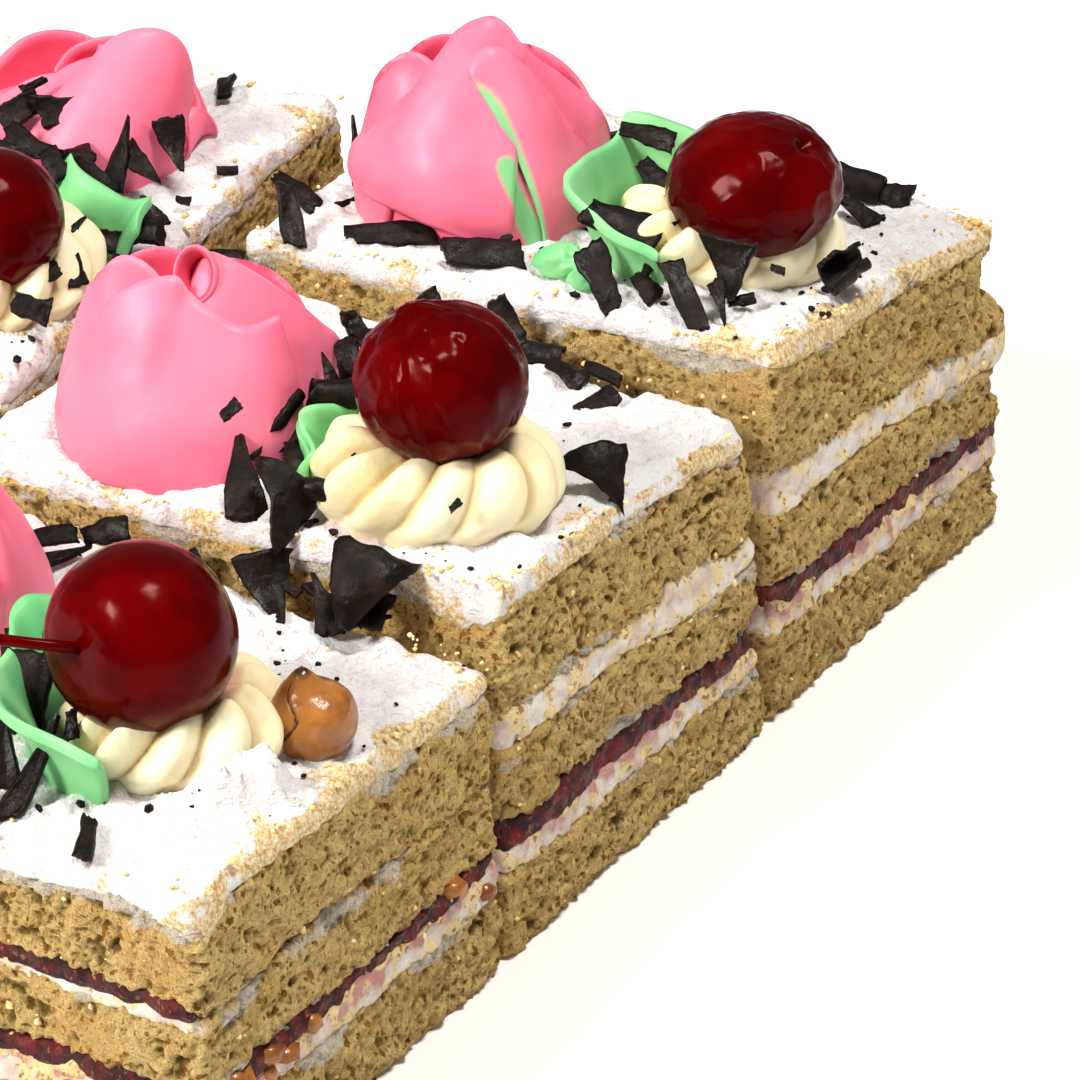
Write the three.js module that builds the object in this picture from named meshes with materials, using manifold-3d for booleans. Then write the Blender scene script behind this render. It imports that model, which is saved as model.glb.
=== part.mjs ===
// Drunken cherry cake: a block of four cut slices of a layered sponge cake, in millimetres with +Z up.
// X runs along the three slices of the row, towards their cherries, and Y runs from the front slice to the back one.
// The fourth slice stands turned across the left ends of the second and third.
import * as THREE from 'three';
import { mergeVertices } from 'three/addons/utils/BufferGeometryUtils.js';
import Module from 'manifold-3d';

const wasm = await Module();
wasm.setup();

// Driving dimensions
const MIDDLE = [-68.8, 86.7];
const SLICE_WIDTH = 57;
const HALF_WIDTH = SLICE_WIDTH / 2;
const CLEARANCE = 0.34;
const LONG_STEPS = 9;
const SHORT_STEPS = 6;
const CORNER_ROUND = 1.1;
const LEAN_HEIGHT = 45;
const ROSE_POINTS = 21;
const ROSETTE_RIDGES = 8;
const RIDGE_POINTS = 4;
const CHERRY_POINTS = 15;
const CHERRY_ROWS = 8;
const ROOM_GROWTH = 0.95;
const ROOM_POINTS = 12;
const ROOM_ROWS = 7;
const LEAF_THICKNESS = 1.3;
const CHOCOLATE_THICKNESS = 0.9;
// Rows round the side of each kind of layer, as shares of its thickness
const LAYER_ROWS = { sponge: [0, 0.3, 0.72, 1], cream: [0, 0.5, 1], jam: [0, 1] };
const FROSTING_RINGS = [0.95, 0.78, 0.54, 0.28];
const ROSE_PETALS = 3;
const ROSE_TILT = 0.1;
const ROSE_SLOPE = 0.4;
const SEAT = 0.4;
const SMOOTH_MARGIN = 4;
const ROSETTE_SLANT = 0.7;
const DIMPLE_DEPTH = 1.1;
const STEM_RADIUS = 0.62;
const LEAF_STEPS = 9;
const LEAF_WAVES = 3;
const LEAF_RUFFLE = 1.1;
const NUT_POINTS = 10;
const NUT_ROWS = 6;
const NUT_SEAT = 0.68;
const NUT_STRETCH = 1.05;
const NUT_POINT = 1.1;

// Rose profile from the base up to the heart: reach, rise, and how far the row follows the petals' lips
const ROSE_PROFILE = [
  [0.9, 0, 0], [1.02, 0.18, 0.3], [1.04, 0.42, 0.8], [0.95, 0.68, 1], [0.77, 0.84, 1], [0.6, 0.78, 0.9], [0.38, 0.93, 0.3], [0.13, 1, 0],
];

// Rosette profile from the base over the ring to its hollow: reach, rise, and depth of the ridges
const ROSETTE_PROFILE = [[0.92, 0, 0.05], [1, 0.35, 0.07], [0.86, 0.82, 0.09], [0.6, 1, 0.08], [0.32, 0.72, 0.05]];

// Stem path in shares of its length, from the dimple
const STEM_PATH = [[0, 0, 0], [0.1, 0.14, 0.06], [0.42, 0.32, 0.1], [0.8, 0.5, 0.1]];

// Colours
const COLORS = {
  sponge: 0xd0b878, cream: 0xefe0dc, jam: 0x5a0c14, frosting: 0xf4efee, rose: 0xff9db5,
  leaf: 0x7bcb84, rosette: 0xf2ebbe, cherry: 0x7a0610, hazelnut: 0x9a5f22,
};

// Layer heights as shares of the slice's height: the upper limit of each layer
const PLAIN_LAYERS = [
  ['sponge_bottom', 'sponge', 0.235], ['cream_lower', 'cream', 0.30], ['jam', 'jam', 0.355],
  ['sponge_middle', 'sponge', 0.57], ['cream_upper', 'cream', 0.645], ['sponge_top', 'sponge', 0.935],
];
const NUT_LAYERS = [
  ['sponge_bottom', 'sponge', 0.27], ['cream_lower', 'cream', 0.355], ['jam', 'jam', 0.40],
  ['sponge_middle', 'sponge', 0.605], ['cream_upper', 'cream', 0.64], ['jam_upper', 'jam', 0.68],
  ['sponge_top', 'sponge', 0.93],
];

// Each slice: its place and turn, half its length, its corner heights, how far its walls draw in at the top,
// how freely each wall may bulge, and its toppings in the slice's own u (along) and v (across)
const SLICES = [
  {
    name: 'slice1', at: [-37, 28.5], turn: 0, halfLength: 37, layers: NUT_LAYERS, seed: 3,
    corners: { frontLeft: 38.5, frontRight: 41, backRight: 38.5, backLeft: 40.5 },
    lean: { front: 0.4, right: 0.3, back: 1.6, left: 0.5 }, free: { front: 1, right: 1, back: 0.3, left: 1 },
    rose: { u: -20, v: 2.5, radius: 14.3, height: 21, tall: 215, turn: 40 },
    rosette: { u: 17.2, v: -2.6, radius: 12, height: 6.4, turn: 12 },
    cherry: { u: 16, v: -6.5, z: 53.6, radius: 10.1, squash: 0.98, dimple: [-0.2, -0.95, 0.24], wrinkle: 0.004, stem: 24 },
    leaf: { from: 132, to: 272, reach: 2.8, flare: 4, height: 6.2 },
    hazelnut: { u: 30.2, v: 3.5, radius: 4.7 },
    chunk: { u: 28, v: -11, height: 3.4, width: 5.6 },
    chocolate: [
      [10.5, -23, 11, 2.6, -44], [11, -16.5, 11.5, 2.2, 103], [21.9, -24.8, 6, 2.2, 106], [0, 25.5, 6.5, 2, 48],
      [13.5, 22.5, 9.5, 4.2, -31], [22, 21.5, 8, 2.6, -38], [-3, -21, 9, 3.3, -46], [-12, -19, 8, 3, 20],
      [-14, 20, 7.5, 3, 48], [2, -25, 4, 2, -8], [-33, -14, 6, 2.4, 60], [-24, -20, 7, 2.6, -20],
    ],
  },
  {
    name: 'slice2', at: [-37, 86.7], turn: 0, halfLength: 37, layers: PLAIN_LAYERS, seed: 11,
    corners: { frontLeft: 43.5, frontRight: 47, backRight: 41.5, backLeft: 43 },
    lean: { front: 1.5, right: 1.0, back: 3.6, left: 0.6 }, free: { front: 0.3, right: 1, back: 0.3, left: 0.4 },
    rose: { u: -14.5, v: -11.5, radius: 14.6, height: 21.5, tall: 200, turn: 250 },
    rosette: { u: 19, v: -12.2, radius: 13.1, height: 8, turn: 0 },
    cherry: { u: 20, v: -13.2, z: 60.6, radius: 9.4, squash: 0.93, dimple: [-0.28, -0.1, 0.95], wrinkle: 0.02, stem: 0 },
    leaf: { from: 128, to: 222, reach: 2.0, flare: 0.7, height: 6 },
    chocolate: [
      [-3, -20.5, 14, 4, -58], [7.4, -22.4, 9, 5, 0], [-4, -15.5, 9, 4.2, -50], [3, -17.5, 8, 4.4, 35],
      [1.6, 21.2, 6, 3.4, 10], [6.6, 20.6, 8.5, 3.2, -32], [18.8, -25.4, 12, 7, -30], [30.8, 0.2, 8.2, 5.8, -20],
      [12.1, 22.3, 4.4, 2.6, 31], [17.6, 16.6, 5.4, 2.7, -13], [23.8, 12.4, 4.4, 3, 47],
      [20.7, 20.8, 4.6, 1.7, -14], [-9, -25.6, 7, 2.2, 41], [11, -26.6, 6.6, 3.2, 20], [-30, 8, 5, 2, 15],
    ],
  },
  {
    name: 'slice3', at: [-36.75, 144.9], turn: 0, halfLength: 36.75, layers: PLAIN_LAYERS, seed: 23,
    corners: { frontLeft: 45.5, frontRight: 49.5, backRight: 41, backLeft: 44 },
    lean: { front: 0.6, right: 0.3, back: 0.5, left: 0.6 }, free: { front: 0.3, right: 1, back: 1, left: 0.6 },
    rose: { u: -15.8, v: -7.4, radius: 14.3, height: 22, tall: 190, turn: 300 },
    rosette: { u: 16.8, v: -3.2, radius: 13.1, height: 6.8, turn: 20 },
    cherry: { u: 21.2, v: -5.5, z: 56.6, radius: 10.3, squash: 0.81, dimple: [0.62, 0.1, 0.78], wrinkle: 0.018, stem: 0 },
    leaf: { from: 122, to: 268, reach: 2.8, flare: 3.8, height: 8.6 },
    chocolate: [
      [-19.2, -22.2, 10.2, 3.3, 22], [-6.6, -21.6, 9.8, 3.6, 22], [8.7, -20.6, 14, 3.2, -47],
      [20.7, -20.6, 13.5, 2.6, -49], [24.6, -20.2, 8.4, 2, -49], [15, -19.6, 6.4, 2.2, -37],
      [34, -6.8, 7.6, 4.6, 88], [23.4, 14.2, 10, 3.2, -18], [27.1, 9.2, 7, 3, -27], [29.3, 15, 4.6, 3, 11],
      [-28.2, -17.1, 4.2, 1, 79], [20, 17.6, 6, 2.6, 30], [-33, -2, 7, 2.2, -52], [-12, 16, 6, 2.6, 40],
      [-28, 12, 4, 2, 20],
    ],
  },
  {
    name: 'slice4', at: [-106.8, 110.5], turn: -85.5, halfLength: 41, layers: PLAIN_LAYERS, seed: 37,
    corners: { frontLeft: 45, frontRight: 45, backRight: 45, backLeft: 46.5 },
    lean: { front: 0.8, right: 1.0, back: 0.6, left: 0.8 }, free: { front: 1, right: 1, back: 0.3, left: 1 },
    rose: { u: -14.6, v: 5.6, radius: 13.6, height: 17.2, tall: 120, turn: 60 },
    rosette: { u: 20.8, v: 14, radius: 13, height: 6.6, turn: 8 },
    cherry: { u: 24, v: 16.6, z: 56, radius: 8.9, squash: 0.95, dimple: [0.1, -0.2, 0.97], wrinkle: 0.006, stem: 0 },
    leaf: { from: 122, to: 228, reach: 2.6, flare: 3.2, height: 5.4 },
    chocolate: [
      [-8, 15.4, 8.4, 4, 60], [-13.6, 32, 6, 2, 54], [-11.3, 27.4, 7.4, 2.6, 65], [2.5, 27, 8, 2.6, 34],
      [34, 26, 5, 3.2, 62], [13, 26, 5.6, 3.2, 69], [7.6, 26.6, 6, 3.2, 82], [0, 22.4, 7, 3, 57],
      [3, -3, 8, 3.4, 130], [7, -6, 9, 3.2, 20], [22, -6, 8, 2.6, 160], [-8, -9, 7.5, 2.6, 100],
      [-25, -8, 5, 2.2, 40], [33, -2, 7, 2.6, 70], [-34, 15, 6, 2.2, 30], [-16, -19, 6, 2.4, -40],
    ],
  },
];

const radians = (degrees) => degrees * Math.PI / 180;
const mix = (a, b, t) => a + (b - a) * t;
const clamp = (x, low, high) => Math.min(high, Math.max(low, x));

// A fixed scatter value from 0 to 1 for any three numbers
function scatter(a, b, c) {
  const wave = Math.sin(a * 12.9898 + b * 78.233 + c * 37.719) * 43758.5453;
  return wave - Math.floor(wave);
}

// Closed surface through a stack of rings with equal point counts, counted anticlockwise seen from the last ring
function ringStack(rings, firstCentre, lastCentre) {
  const count = rings[0].length;
  const positions = [...rings.flat(), firstCentre, lastCentre];
  const first = rings.length * count;
  const index = [];
  for (let j = 0; j < count; j += 1) {
    const next = (j + 1) % count;
    index.push(first, next, j);
    index.push(first + 1, first - count + j, first - count + next);
    for (let i = 0; i + 1 < rings.length; i += 1) {
      const a = i * count + j;
      const b = i * count + next;
      index.push(a, b, a + count, b, b + count, a + count);
    }
  }
  return indexed(positions, index);
}

// Closed sheet between two surfaces on the same grid of u and v, with both faces split alike
function sheet(stepsU, stepsV, upper, lower) {
  const positions = [];
  const columns = stepsV + 1;
  for (const face of [upper, lower]) {
    for (let i = 0; i <= stepsU; i += 1) for (let j = 0; j <= stepsV; j += 1) positions.push(face(i / stepsU, j / stepsV));
  }
  const below = (stepsU + 1) * columns;
  const at = (i, j) => i * columns + j;
  const index = [];
  for (let i = 0; i < stepsU; i += 1) {
    for (let j = 0; j < stepsV; j += 1) {
      const [a, b, c, d] = [at(i, j), at(i + 1, j), at(i + 1, j + 1), at(i, j + 1)];
      index.push(a, b, c, a, c, d, a + below, c + below, b + below, a + below, d + below, c + below);
    }
  }
  const edge = (a, b) => index.push(a, a + below, b + below, a, b + below, b);
  for (let i = 0; i < stepsU; i += 1) {
    edge(at(i, 0), at(i + 1, 0));
    edge(at(i + 1, stepsV), at(i, stepsV));
  }
  for (let j = 0; j < stepsV; j += 1) {
    edge(at(stepsU, j), at(stepsU, j + 1));
    edge(at(0, j + 1), at(0, j));
  }
  return indexed(positions, index);
}

function indexed(positions, index) {
  const geometry = new THREE.BufferGeometry();
  geometry.setAttribute('position', new THREE.Float32BufferAttribute(positions.flat(), 3));
  geometry.setIndex(index);
  return geometry;
}

// Solid and geometry, one into the other
function solid(geometry) {
  const bare = new THREE.BufferGeometry();
  bare.setAttribute('position', geometry.getAttribute('position').clone());
  bare.setIndex(geometry.getIndex());
  const merged = mergeVertices(bare, 1e-4);
  return new wasm.Manifold(new wasm.Mesh({
    numProp: 3,
    vertProperties: new Float32Array(merged.getAttribute('position').array),
    triVerts: new Uint32Array(merged.getIndex().array),
  }));
}

function surface(body) {
  const mesh = body.getMesh();
  const geometry = new THREE.BufferGeometry();
  geometry.setAttribute('position', new THREE.BufferAttribute(new Float32Array(mesh.vertProperties), 3));
  geometry.setIndex(new THREE.BufferAttribute(new Uint32Array(mesh.triVerts), 1));
  return geometry;
}

// Height of the slice's plain top, from its four corners with a low crown
function topHeight(slice, u, v) {
  const { frontLeft, frontRight, backRight, backLeft } = slice.corners;
  const a = clamp((u / slice.halfLength + 1) / 2, 0, 1);
  const b = clamp((v / HALF_WIDTH + 1) / 2, 0, 1);
  return mix(mix(frontLeft, frontRight, a), mix(backLeft, backRight, a), b) + 3.2 * a * (1 - a) * 4 * b * (1 - b) * 0.35;
}

// Height of the limit between two layers at a share of the slice's height
function limitHeight(slice, share, u, v) {
  if (share === 0) return 0;
  const ripple = Math.sin(u / 9 + 7 * share + slice.seed) + Math.sin(v / 8 + 11 * share + 2 * slice.seed);
  return share * topHeight(slice, u, v) + 0.3 * ripple;
}

// Share of the frosting's waves left at a point: none under a topping, all of them a little way off
function openShare(slice, u, v) {
  const places = [[slice.rose, 1], [slice.rosette, 6]];
  if (slice.hazelnut) places.push([slice.hazelnut, 1]);
  return places.reduce((share, [topping, spare]) => {
    const away = Math.hypot(u - topping.u, v - topping.v) - topping.radius - spare;
    return share * THREE.MathUtils.smoothstep(away, 0, SMOOTH_MARGIN);
  }, 1);
}

// Frosting top: the plain top with low spatula waves, and a raised dab where the slice has one
function frostingHeight(slice, u, v) {
  const waves = openShare(slice, u, v)
    * (0.45 * Math.sin(u / 4.3 + 1.4 * Math.sin(v / 6 + slice.seed)) + 0.3 * Math.sin(v / 3.6 + u / 11 + slice.seed));
  let dab = 0;
  if (slice.chunk) {
    const { u: cu, v: cv, height, width } = slice.chunk;
    const away = Math.hypot(u - slice.rosette.u, v - slice.rosette.v) - slice.rosette.radius - 1;
    dab = THREE.MathUtils.smoothstep(away, 0, 2.5) * height * Math.exp(-(((u - cu) / width) ** 2 + ((v - cv) / (width * 0.6)) ** 2) * 1.4);
  }
  return topHeight(slice, u, v) + waves + dab;
}

// Walls of a slice in order round it: share of the length and width where each starts and ends, and its outward way
const WALLS = [
  { name: 'front', from: [0, 0], to: [1, 0], out: [0, -1], steps: LONG_STEPS },
  { name: 'right', from: [1, 0], to: [1, 1], out: [1, 0], steps: SHORT_STEPS },
  { name: 'back', from: [1, 1], to: [0, 1], out: [0, 1], steps: LONG_STEPS },
  { name: 'left', from: [0, 1], to: [0, 0], out: [-1, 0], steps: SHORT_STEPS },
];

// Points round a slice's cut walls: a rectangle that draws in towards the top, each point moved out by its own amount
function outline(slice, heightAt, outset) {
  const { lean, free, halfLength } = slice;
  const points = [];
  for (const { name, from, to, out, steps } of WALLS) {
    for (let k = 0; k < steps; k += 1) {
      const a = mix(from[0], to[0], k / steps);
      const b = mix(from[1], to[1], k / steps);
      const z = heightAt(mix(-halfLength, halfLength, a), mix(-HALF_WIDTH, HALF_WIDTH, b));
      const rise = z / LEAN_HEIGHT;
      const u = mix(-halfLength + lean.left * rise, halfLength - lean.right * rise, a);
      const v = mix(-HALF_WIDTH + lean.front * rise, HALF_WIDTH - lean.back * rise, b);
      const move = outset(points.length, free[name]);
      const round = k === 0 ? CORNER_ROUND : 0;
      points.push([u + out[0] * move - Math.sign(u) * round, v + out[1] * move - Math.sign(v) * round, z]);
    }
  }
  return points;
}

// One layer between two shares of the height. Sponge is rough between its edges, cream and jam are pressed out unevenly
function layer(slice, kind, low, high, order) {
  const seed = slice.seed + 5 * order;
  const lift = low === 0 ? 0 : CLEARANCE / 2;
  const stations = LAYER_ROWS[kind];
  const rings = stations.map((share, row) => outline(
    slice,
    (u, v) => mix(limitHeight(slice, low, u, v) + lift, limitHeight(slice, high, u, v) - CLEARANCE / 2, share),
    (point, free) => {
      const edge = row === 0 || row === stations.length - 1;
      const rough = scatter(seed, point, row) - 0.5;
      const slow = Math.sin(point * 1.1 + seed) * 0.35;
      const move = { sponge: (edge ? -0.3 : 0.15) + 0.7 * rough + slow, cream: (edge ? -0.4 : 0.1) + 1.3 * rough, jam: (edge ? -0.5 : -0.1) + rough }[kind];
      return Math.min(move, free * 1.1 - 0.15) * (free < 0.5 ? 0.45 : 1);
    },
  ));
  return ringStack(
    rings,
    [0, 0, limitHeight(slice, low, 0, 0) + lift],
    [0, 0, limitHeight(slice, high, 0, 0) - CLEARANCE / 2],
  );
}

// Frosting: a skin from the top sponge up to a wavy top, with an uneven edge
function frosting(slice, share) {
  const under = (u, v) => limitHeight(slice, share, u, v) + CLEARANCE / 2;
  const edge = (point, free) => Math.min(0.2 + 1.1 * (scatter(slice.seed, point, 9) - 0.62) + 0.4 * Math.sin(point * 0.9 + slice.seed), free * 1.3 - 0.2);
  const rim = outline(slice, (u, v) => topHeight(slice, u, v) - 0.9, (point, free) => edge(point, free) - 0.1);
  const rings = [
    outline(slice, under, (point, free) => edge(point, free) - 0.5),
    rim,
  ];
  for (const share of FROSTING_RINGS) {
    rings.push(rim.map(([u, v]) => [u * share, v * share, frostingHeight(slice, u * share, v * share)]));
  }
  return ringStack(rings, [0, 0, under(0, 0)], [0, 0, frostingHeight(slice, 0, 0)]);
}

// Piped rose: overlapping smooth petals round a bud, each with a lip that stands highest on the tall side
function rose(slice) {
  const { u, v, radius, height, tall, turn } = slice.rose;
  const base = topHeight(slice, u, v) + SEAT;
  const rings = ROSE_PROFILE.map(([reach, rise, lip]) => {
    const ring = [];
    for (let k = 0; k < ROSE_POINTS; k += 1) {
      const angle = 2 * Math.PI * k / ROSE_POINTS;
      const petal = ((angle - radians(turn)) / (2 * Math.PI / ROSE_PETALS) + 0.35 * rise + 8) % 1;
      const overlap = 1 + 0.1 * (petal - 0.6) * (rise > 0.1 ? 1 : 0);
      const arch = 0.86 + 0.14 * Math.sin(Math.PI * petal);
      const side = 0.5 + 0.5 * Math.cos(angle - radians(tall));
      const up = rise <= 0.1 ? rise : rise * mix(1, arch * mix(1 - ROSE_SLOPE, 1, side), lip);
      const shift = ROSE_TILT * radius * Math.max(0, up);
      const x = u + radius * reach * overlap * Math.cos(angle) + shift * Math.cos(radians(tall));
      const y = v + radius * reach * overlap * Math.sin(angle) + shift * Math.sin(radians(tall));
      ring.push([x, y, mix(topHeight(slice, x, y) + SEAT, base, clamp(up * 3, 0, 1)) + height * up]);
    }
    return ring;
  });
  const heart = rings[rings.length - 1];
  const middle = [0, 1, 2].map((axis) => heart.reduce((sum, point) => sum + point[axis], 0) / heart.length);
  return ringStack(rings, [u, v, base], middle);
}

// Piped rosette: a low ring of rounded ridges that slant round it, with a hollow middle
function rosette(slice) {
  const { u, v, radius, height, turn } = slice.rosette;
  const base = topHeight(slice, u, v) + SEAT;
  const count = ROSETTE_RIDGES * RIDGE_POINTS;
  const rings = ROSETTE_PROFILE.map(([reach, rise, depth], row) => {
    const ring = [];
    for (let k = 0; k < count; k += 1) {
      const angle = 2 * Math.PI * k / count + radians(turn);
      const ridge = Math.cos(ROSETTE_RIDGES * angle + row * ROSETTE_SLANT);
      const out = radius * reach * (1 + depth * ridge);
      const [x, y] = [u + out * Math.cos(angle), v + out * Math.sin(angle)];
      ring.push([x, y, topHeight(slice, x, y) + SEAT + height * rise * (1 + depth * ridge)]);
    }
    return ring;
  });
  return ringStack(rings, [u, v, base], [u, v, base + 0.35 * height]);
}

// Cherry: a round fruit with a dimple, lightly wrinkled, and a thin bent stem where it has one
function cherry(slice, grow, points, rows) {
  const { u, v, z, radius, squash, dimple, wrinkle, stem } = slice.cherry;
  const axis = new THREE.Vector3(...dimple).normalize();
  const turn = new THREE.Quaternion().setFromUnitVectors(new THREE.Vector3(0, 0, 1), axis);
  const centre = new THREE.Vector3(u, v, z);
  const place = (x, y, h) => {
    const point = new THREE.Vector3(x, y, h).applyQuaternion(turn);
    point.z *= squash;
    return point.add(centre).toArray();
  };
  const rings = [];
  for (let i = 1; i < rows; i += 1) {
    const polar = Math.PI * (1 - i / rows);
    const ring = [];
    for (let k = 0; k < points; k += 1) {
      const angle = 2 * Math.PI * k / points;
      const size = (radius + grow) * (1 + wrinkle * (Math.sin(3 * angle + 2 * polar + slice.seed) + Math.sin(5 * angle - 3 * polar)));
      ring.push(place(size * Math.sin(polar) * Math.cos(angle), size * Math.sin(polar) * Math.sin(angle), size * Math.cos(polar)));
    }
    rings.push(ring);
  }
  const body = solid(ringStack(rings, place(0, 0, -(radius + grow)), place(0, 0, (radius + grow) - DIMPLE_DEPTH)));
  if (!stem) return body;
  const start = centre.clone().addScaledVector(axis, radius - DIMPLE_DEPTH - 1.4);
  const curve = new THREE.CatmullRomCurve3(STEM_PATH.map(([along, across, up]) => start.clone().add(new THREE.Vector3(-along * stem, -across * stem, up * stem))));
  const section = new THREE.Shape().absellipse(0, 0, STEM_RADIUS + grow, STEM_RADIUS + grow, 0, 2 * Math.PI);
  return body.add(solid(new THREE.ExtrudeGeometry(section, { steps: 7, curveSegments: 3, bevelEnabled: false, extrudePath: curve })));
}

// Leaf: a thin ruffled ribbon of piped cream that stands round the rosette's left side
function leaf(slice) {
  const { from, to, reach, flare, height } = slice.leaf;
  const { u: cu, v: cv, radius } = slice.rosette;
  const face = (side) => (s, t) => {
    const angle = radians(mix(from, to, s));
    const spread = Math.sin(Math.PI * mix(0.06, 0.94, s)) ** 0.6;
    const ruffle = LEAF_RUFFLE * t * Math.sin(s * LEAF_WAVES * 2 * Math.PI + slice.seed);
    const out = radius + reach + flare * t * t + ruffle + side * LEAF_THICKNESS / 2 * (1 - 0.35 * t);
    const u = cu + out * Math.cos(angle);
    const v = cv + out * Math.sin(angle);
    const lift = SEAT + t * (height * spread + 1.2 + 0.5 * ruffle);
    return [u, v, topHeight(slice, u, v) + lift];
  };
  return sheet(LEAF_STEPS, 2, face(1), face(-1));
}

// Chocolate piece: a small bent shard that tapers, lying at a slant with its low side set into what it lies on
function chocolate(slice, [u, v, length, width, turn], order) {
  const tilt = radians(8 + 22 * scatter(slice.seed, order, 1));
  const curl = width * (0.25 + 0.35 * scatter(slice.seed, order, 2));
  const taper = 0.35 + 0.65 * scatter(slice.seed, order, 3);
  const [c, s] = [Math.cos(radians(turn)), Math.sin(radians(turn))];
  const face = (side) => (a, b) => {
    const along = (a - 0.5) * length;
    const across = (b - 0.5) * width * mix(1, taper, a) * mix(1, 1.15, Math.sin(Math.PI * a));
    const up = along * Math.sin(tilt) * 0.45 + curl * (1 - (2 * a - 1) ** 2) + across * Math.sin(tilt) + side * CHOCOLATE_THICKNESS / 2;
    const x = u + along * c - across * s;
    const y = v + along * s + across * c;
    return [x, y, frostingHeight(slice, u, v) + up + 0.15];
  };
  return sheet(2, 1, face(1), face(-1));
}

// Halved hazelnut: an egg shape with a flatter cut side and a small point
function hazelnut(slice) {
  const { u, v, radius } = slice.hazelnut;
  const base = topHeight(slice, u, v);
  const rings = [];
  for (let i = 1; i < NUT_ROWS; i += 1) {
    const polar = Math.PI * (1 - i / NUT_ROWS);
    const ring = [];
    for (let k = 0; k < NUT_POINTS; k += 1) {
      const angle = 2 * Math.PI * k / NUT_POINTS;
      const size = radius * (1 - 0.12 * Math.max(0, Math.cos(angle - radians(300))) * Math.sin(polar));
      ring.push([u + size * Math.sin(polar) * Math.cos(angle), v + size * Math.sin(polar) * Math.sin(angle), base + radius * NUT_SEAT + size * NUT_STRETCH * Math.cos(polar)]);
    }
    rings.push(ring);
  }
  return ringStack(rings, [u, v, base + radius * (NUT_SEAT - NUT_STRETCH)], [u, v, base + radius * (NUT_SEAT + NUT_STRETCH * NUT_POINT)]);
}

// A body grown a little about a point, to keep a clear gap round it
function grown(body, [x, y, z], factor) {
  return body.translate([-x, -y, -z]).scale([factor, factor, factor]).translate([x, y, z]);
}

// One slice as a group of named meshes in its own place
function buildSlice(slice) {
  const group = new THREE.Group();
  group.position.set(slice.at[0], slice.at[1], 0);
  group.rotation.z = radians(slice.turn);
  const add = (part, color, geometry, roughness) => {
    const mesh = new THREE.Mesh(geometry, new THREE.MeshStandardMaterial({ color: COLORS[color], roughness, metalness: 0 }));
    mesh.name = `${slice.name}_${part}`;
    group.add(mesh);
  };

  let low = 0;
  slice.layers.forEach(([part, kind, high], order) => {
    add(part, kind, layer(slice, kind, low, high, order), kind === 'jam' ? 0.4 : 0.9);
    low = high;
  });

  const skin = solid(frosting(slice, low));
  const lifted = skin.translate([0, 0, CLEARANCE]);
  const fruit = cherry(slice, 0, CHERRY_POINTS, CHERRY_ROWS);
  const room = cherry(slice, ROOM_GROWTH, ROOM_POINTS, ROOM_ROWS);
  const flower = solid(rose(slice));
  const swirl = solid(rosette(slice)).subtract(room);
  const swirlPlace = [slice.rosette.u, slice.rosette.v, topHeight(slice, slice.rosette.u, slice.rosette.v)];
  const flowerPlace = [slice.rose.u, slice.rose.v, topHeight(slice, slice.rose.u, slice.rose.v)];
  const swirlRoom = grown(swirl, swirlPlace, 1.05);
  const flowerRoom = grown(flower, flowerPlace, 1.03);
  const blade = largest(solid(leaf(slice)).subtract(swirlRoom).subtract(flowerRoom).subtract(room));
  const others = [grown(blade, [swirlPlace[0], swirlPlace[1], swirlPlace[2]], 1.03), grown(blade, swirlPlace, 0.97), swirlRoom, flowerRoom, room];
  let nut = null;
  if (slice.hazelnut) {
    const wider = { ...slice.rosette, radius: slice.rosette.radius + CLEARANCE, height: slice.rosette.height + CLEARANCE };
    const ring = solid(rosette({ ...slice, rosette: wider }));
    nut = largest(solid(hazelnut(slice)).subtract(lifted).subtract(ring).subtract(ring.translate([0, 0, -CLEARANCE])));
    others.push(grown(nut, [slice.hazelnut.u, slice.hazelnut.v, swirlPlace[2]], 1.08));
  }

  let top = skin;
  slice.chocolate.forEach((row, order) => {
    const piece = solid(chocolate(slice, row, order));
    if (others.some((other) => piece.intersect(other).volume() > 0)) return;
    if (piece.intersect(skin).volume() < 0.02 * piece.volume()) return;
    top = top.add(piece);
  });

  add('frosting', 'frosting', surface(largest(top)), 0.75);
  add('rose', 'rose', surface(flower), 0.35);
  add('leaf', 'leaf', surface(blade), 0.4);
  add('rosette', 'rosette', surface(largest(swirl)), 0.4);
  add('cherry', 'cherry', surface(fruit), 0.12);
  if (nut) add('hazelnut', 'hazelnut', surface(nut), 0.25);
  return group;
}

// The biggest of a body's separate lumps
function largest(body) {
  return body.decompose().sort((a, b) => b.volume() - a.volume())[0];
}

// The whole block, with its middle over the origin
const cake = new THREE.Group();
SLICES.forEach((slice) => cake.add(buildSlice(slice)));
cake.position.set(-MIDDLE[0], -MIDDLE[1], 0);
export default cake;
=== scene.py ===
# %% [markdown]
# Cherry cream cake, a lesson in building food from surfaces
#
# The object is a block of four cut slices of a layered sponge cake. Each slice has three sponge
# layers with cream and cherry jam between them, white frosting on top, and a piped rose, a leaf,
# a rosette with a candied cherry, and shards of dark chocolate. The solids of the cake are already
# made as plain shapes. This file gives every one of them its fine shape and its finish.

# %% Load the plain solids as a fixed frame
import math

import bpy
import numpy as np
from mathutils import Matrix, Vector


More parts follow.
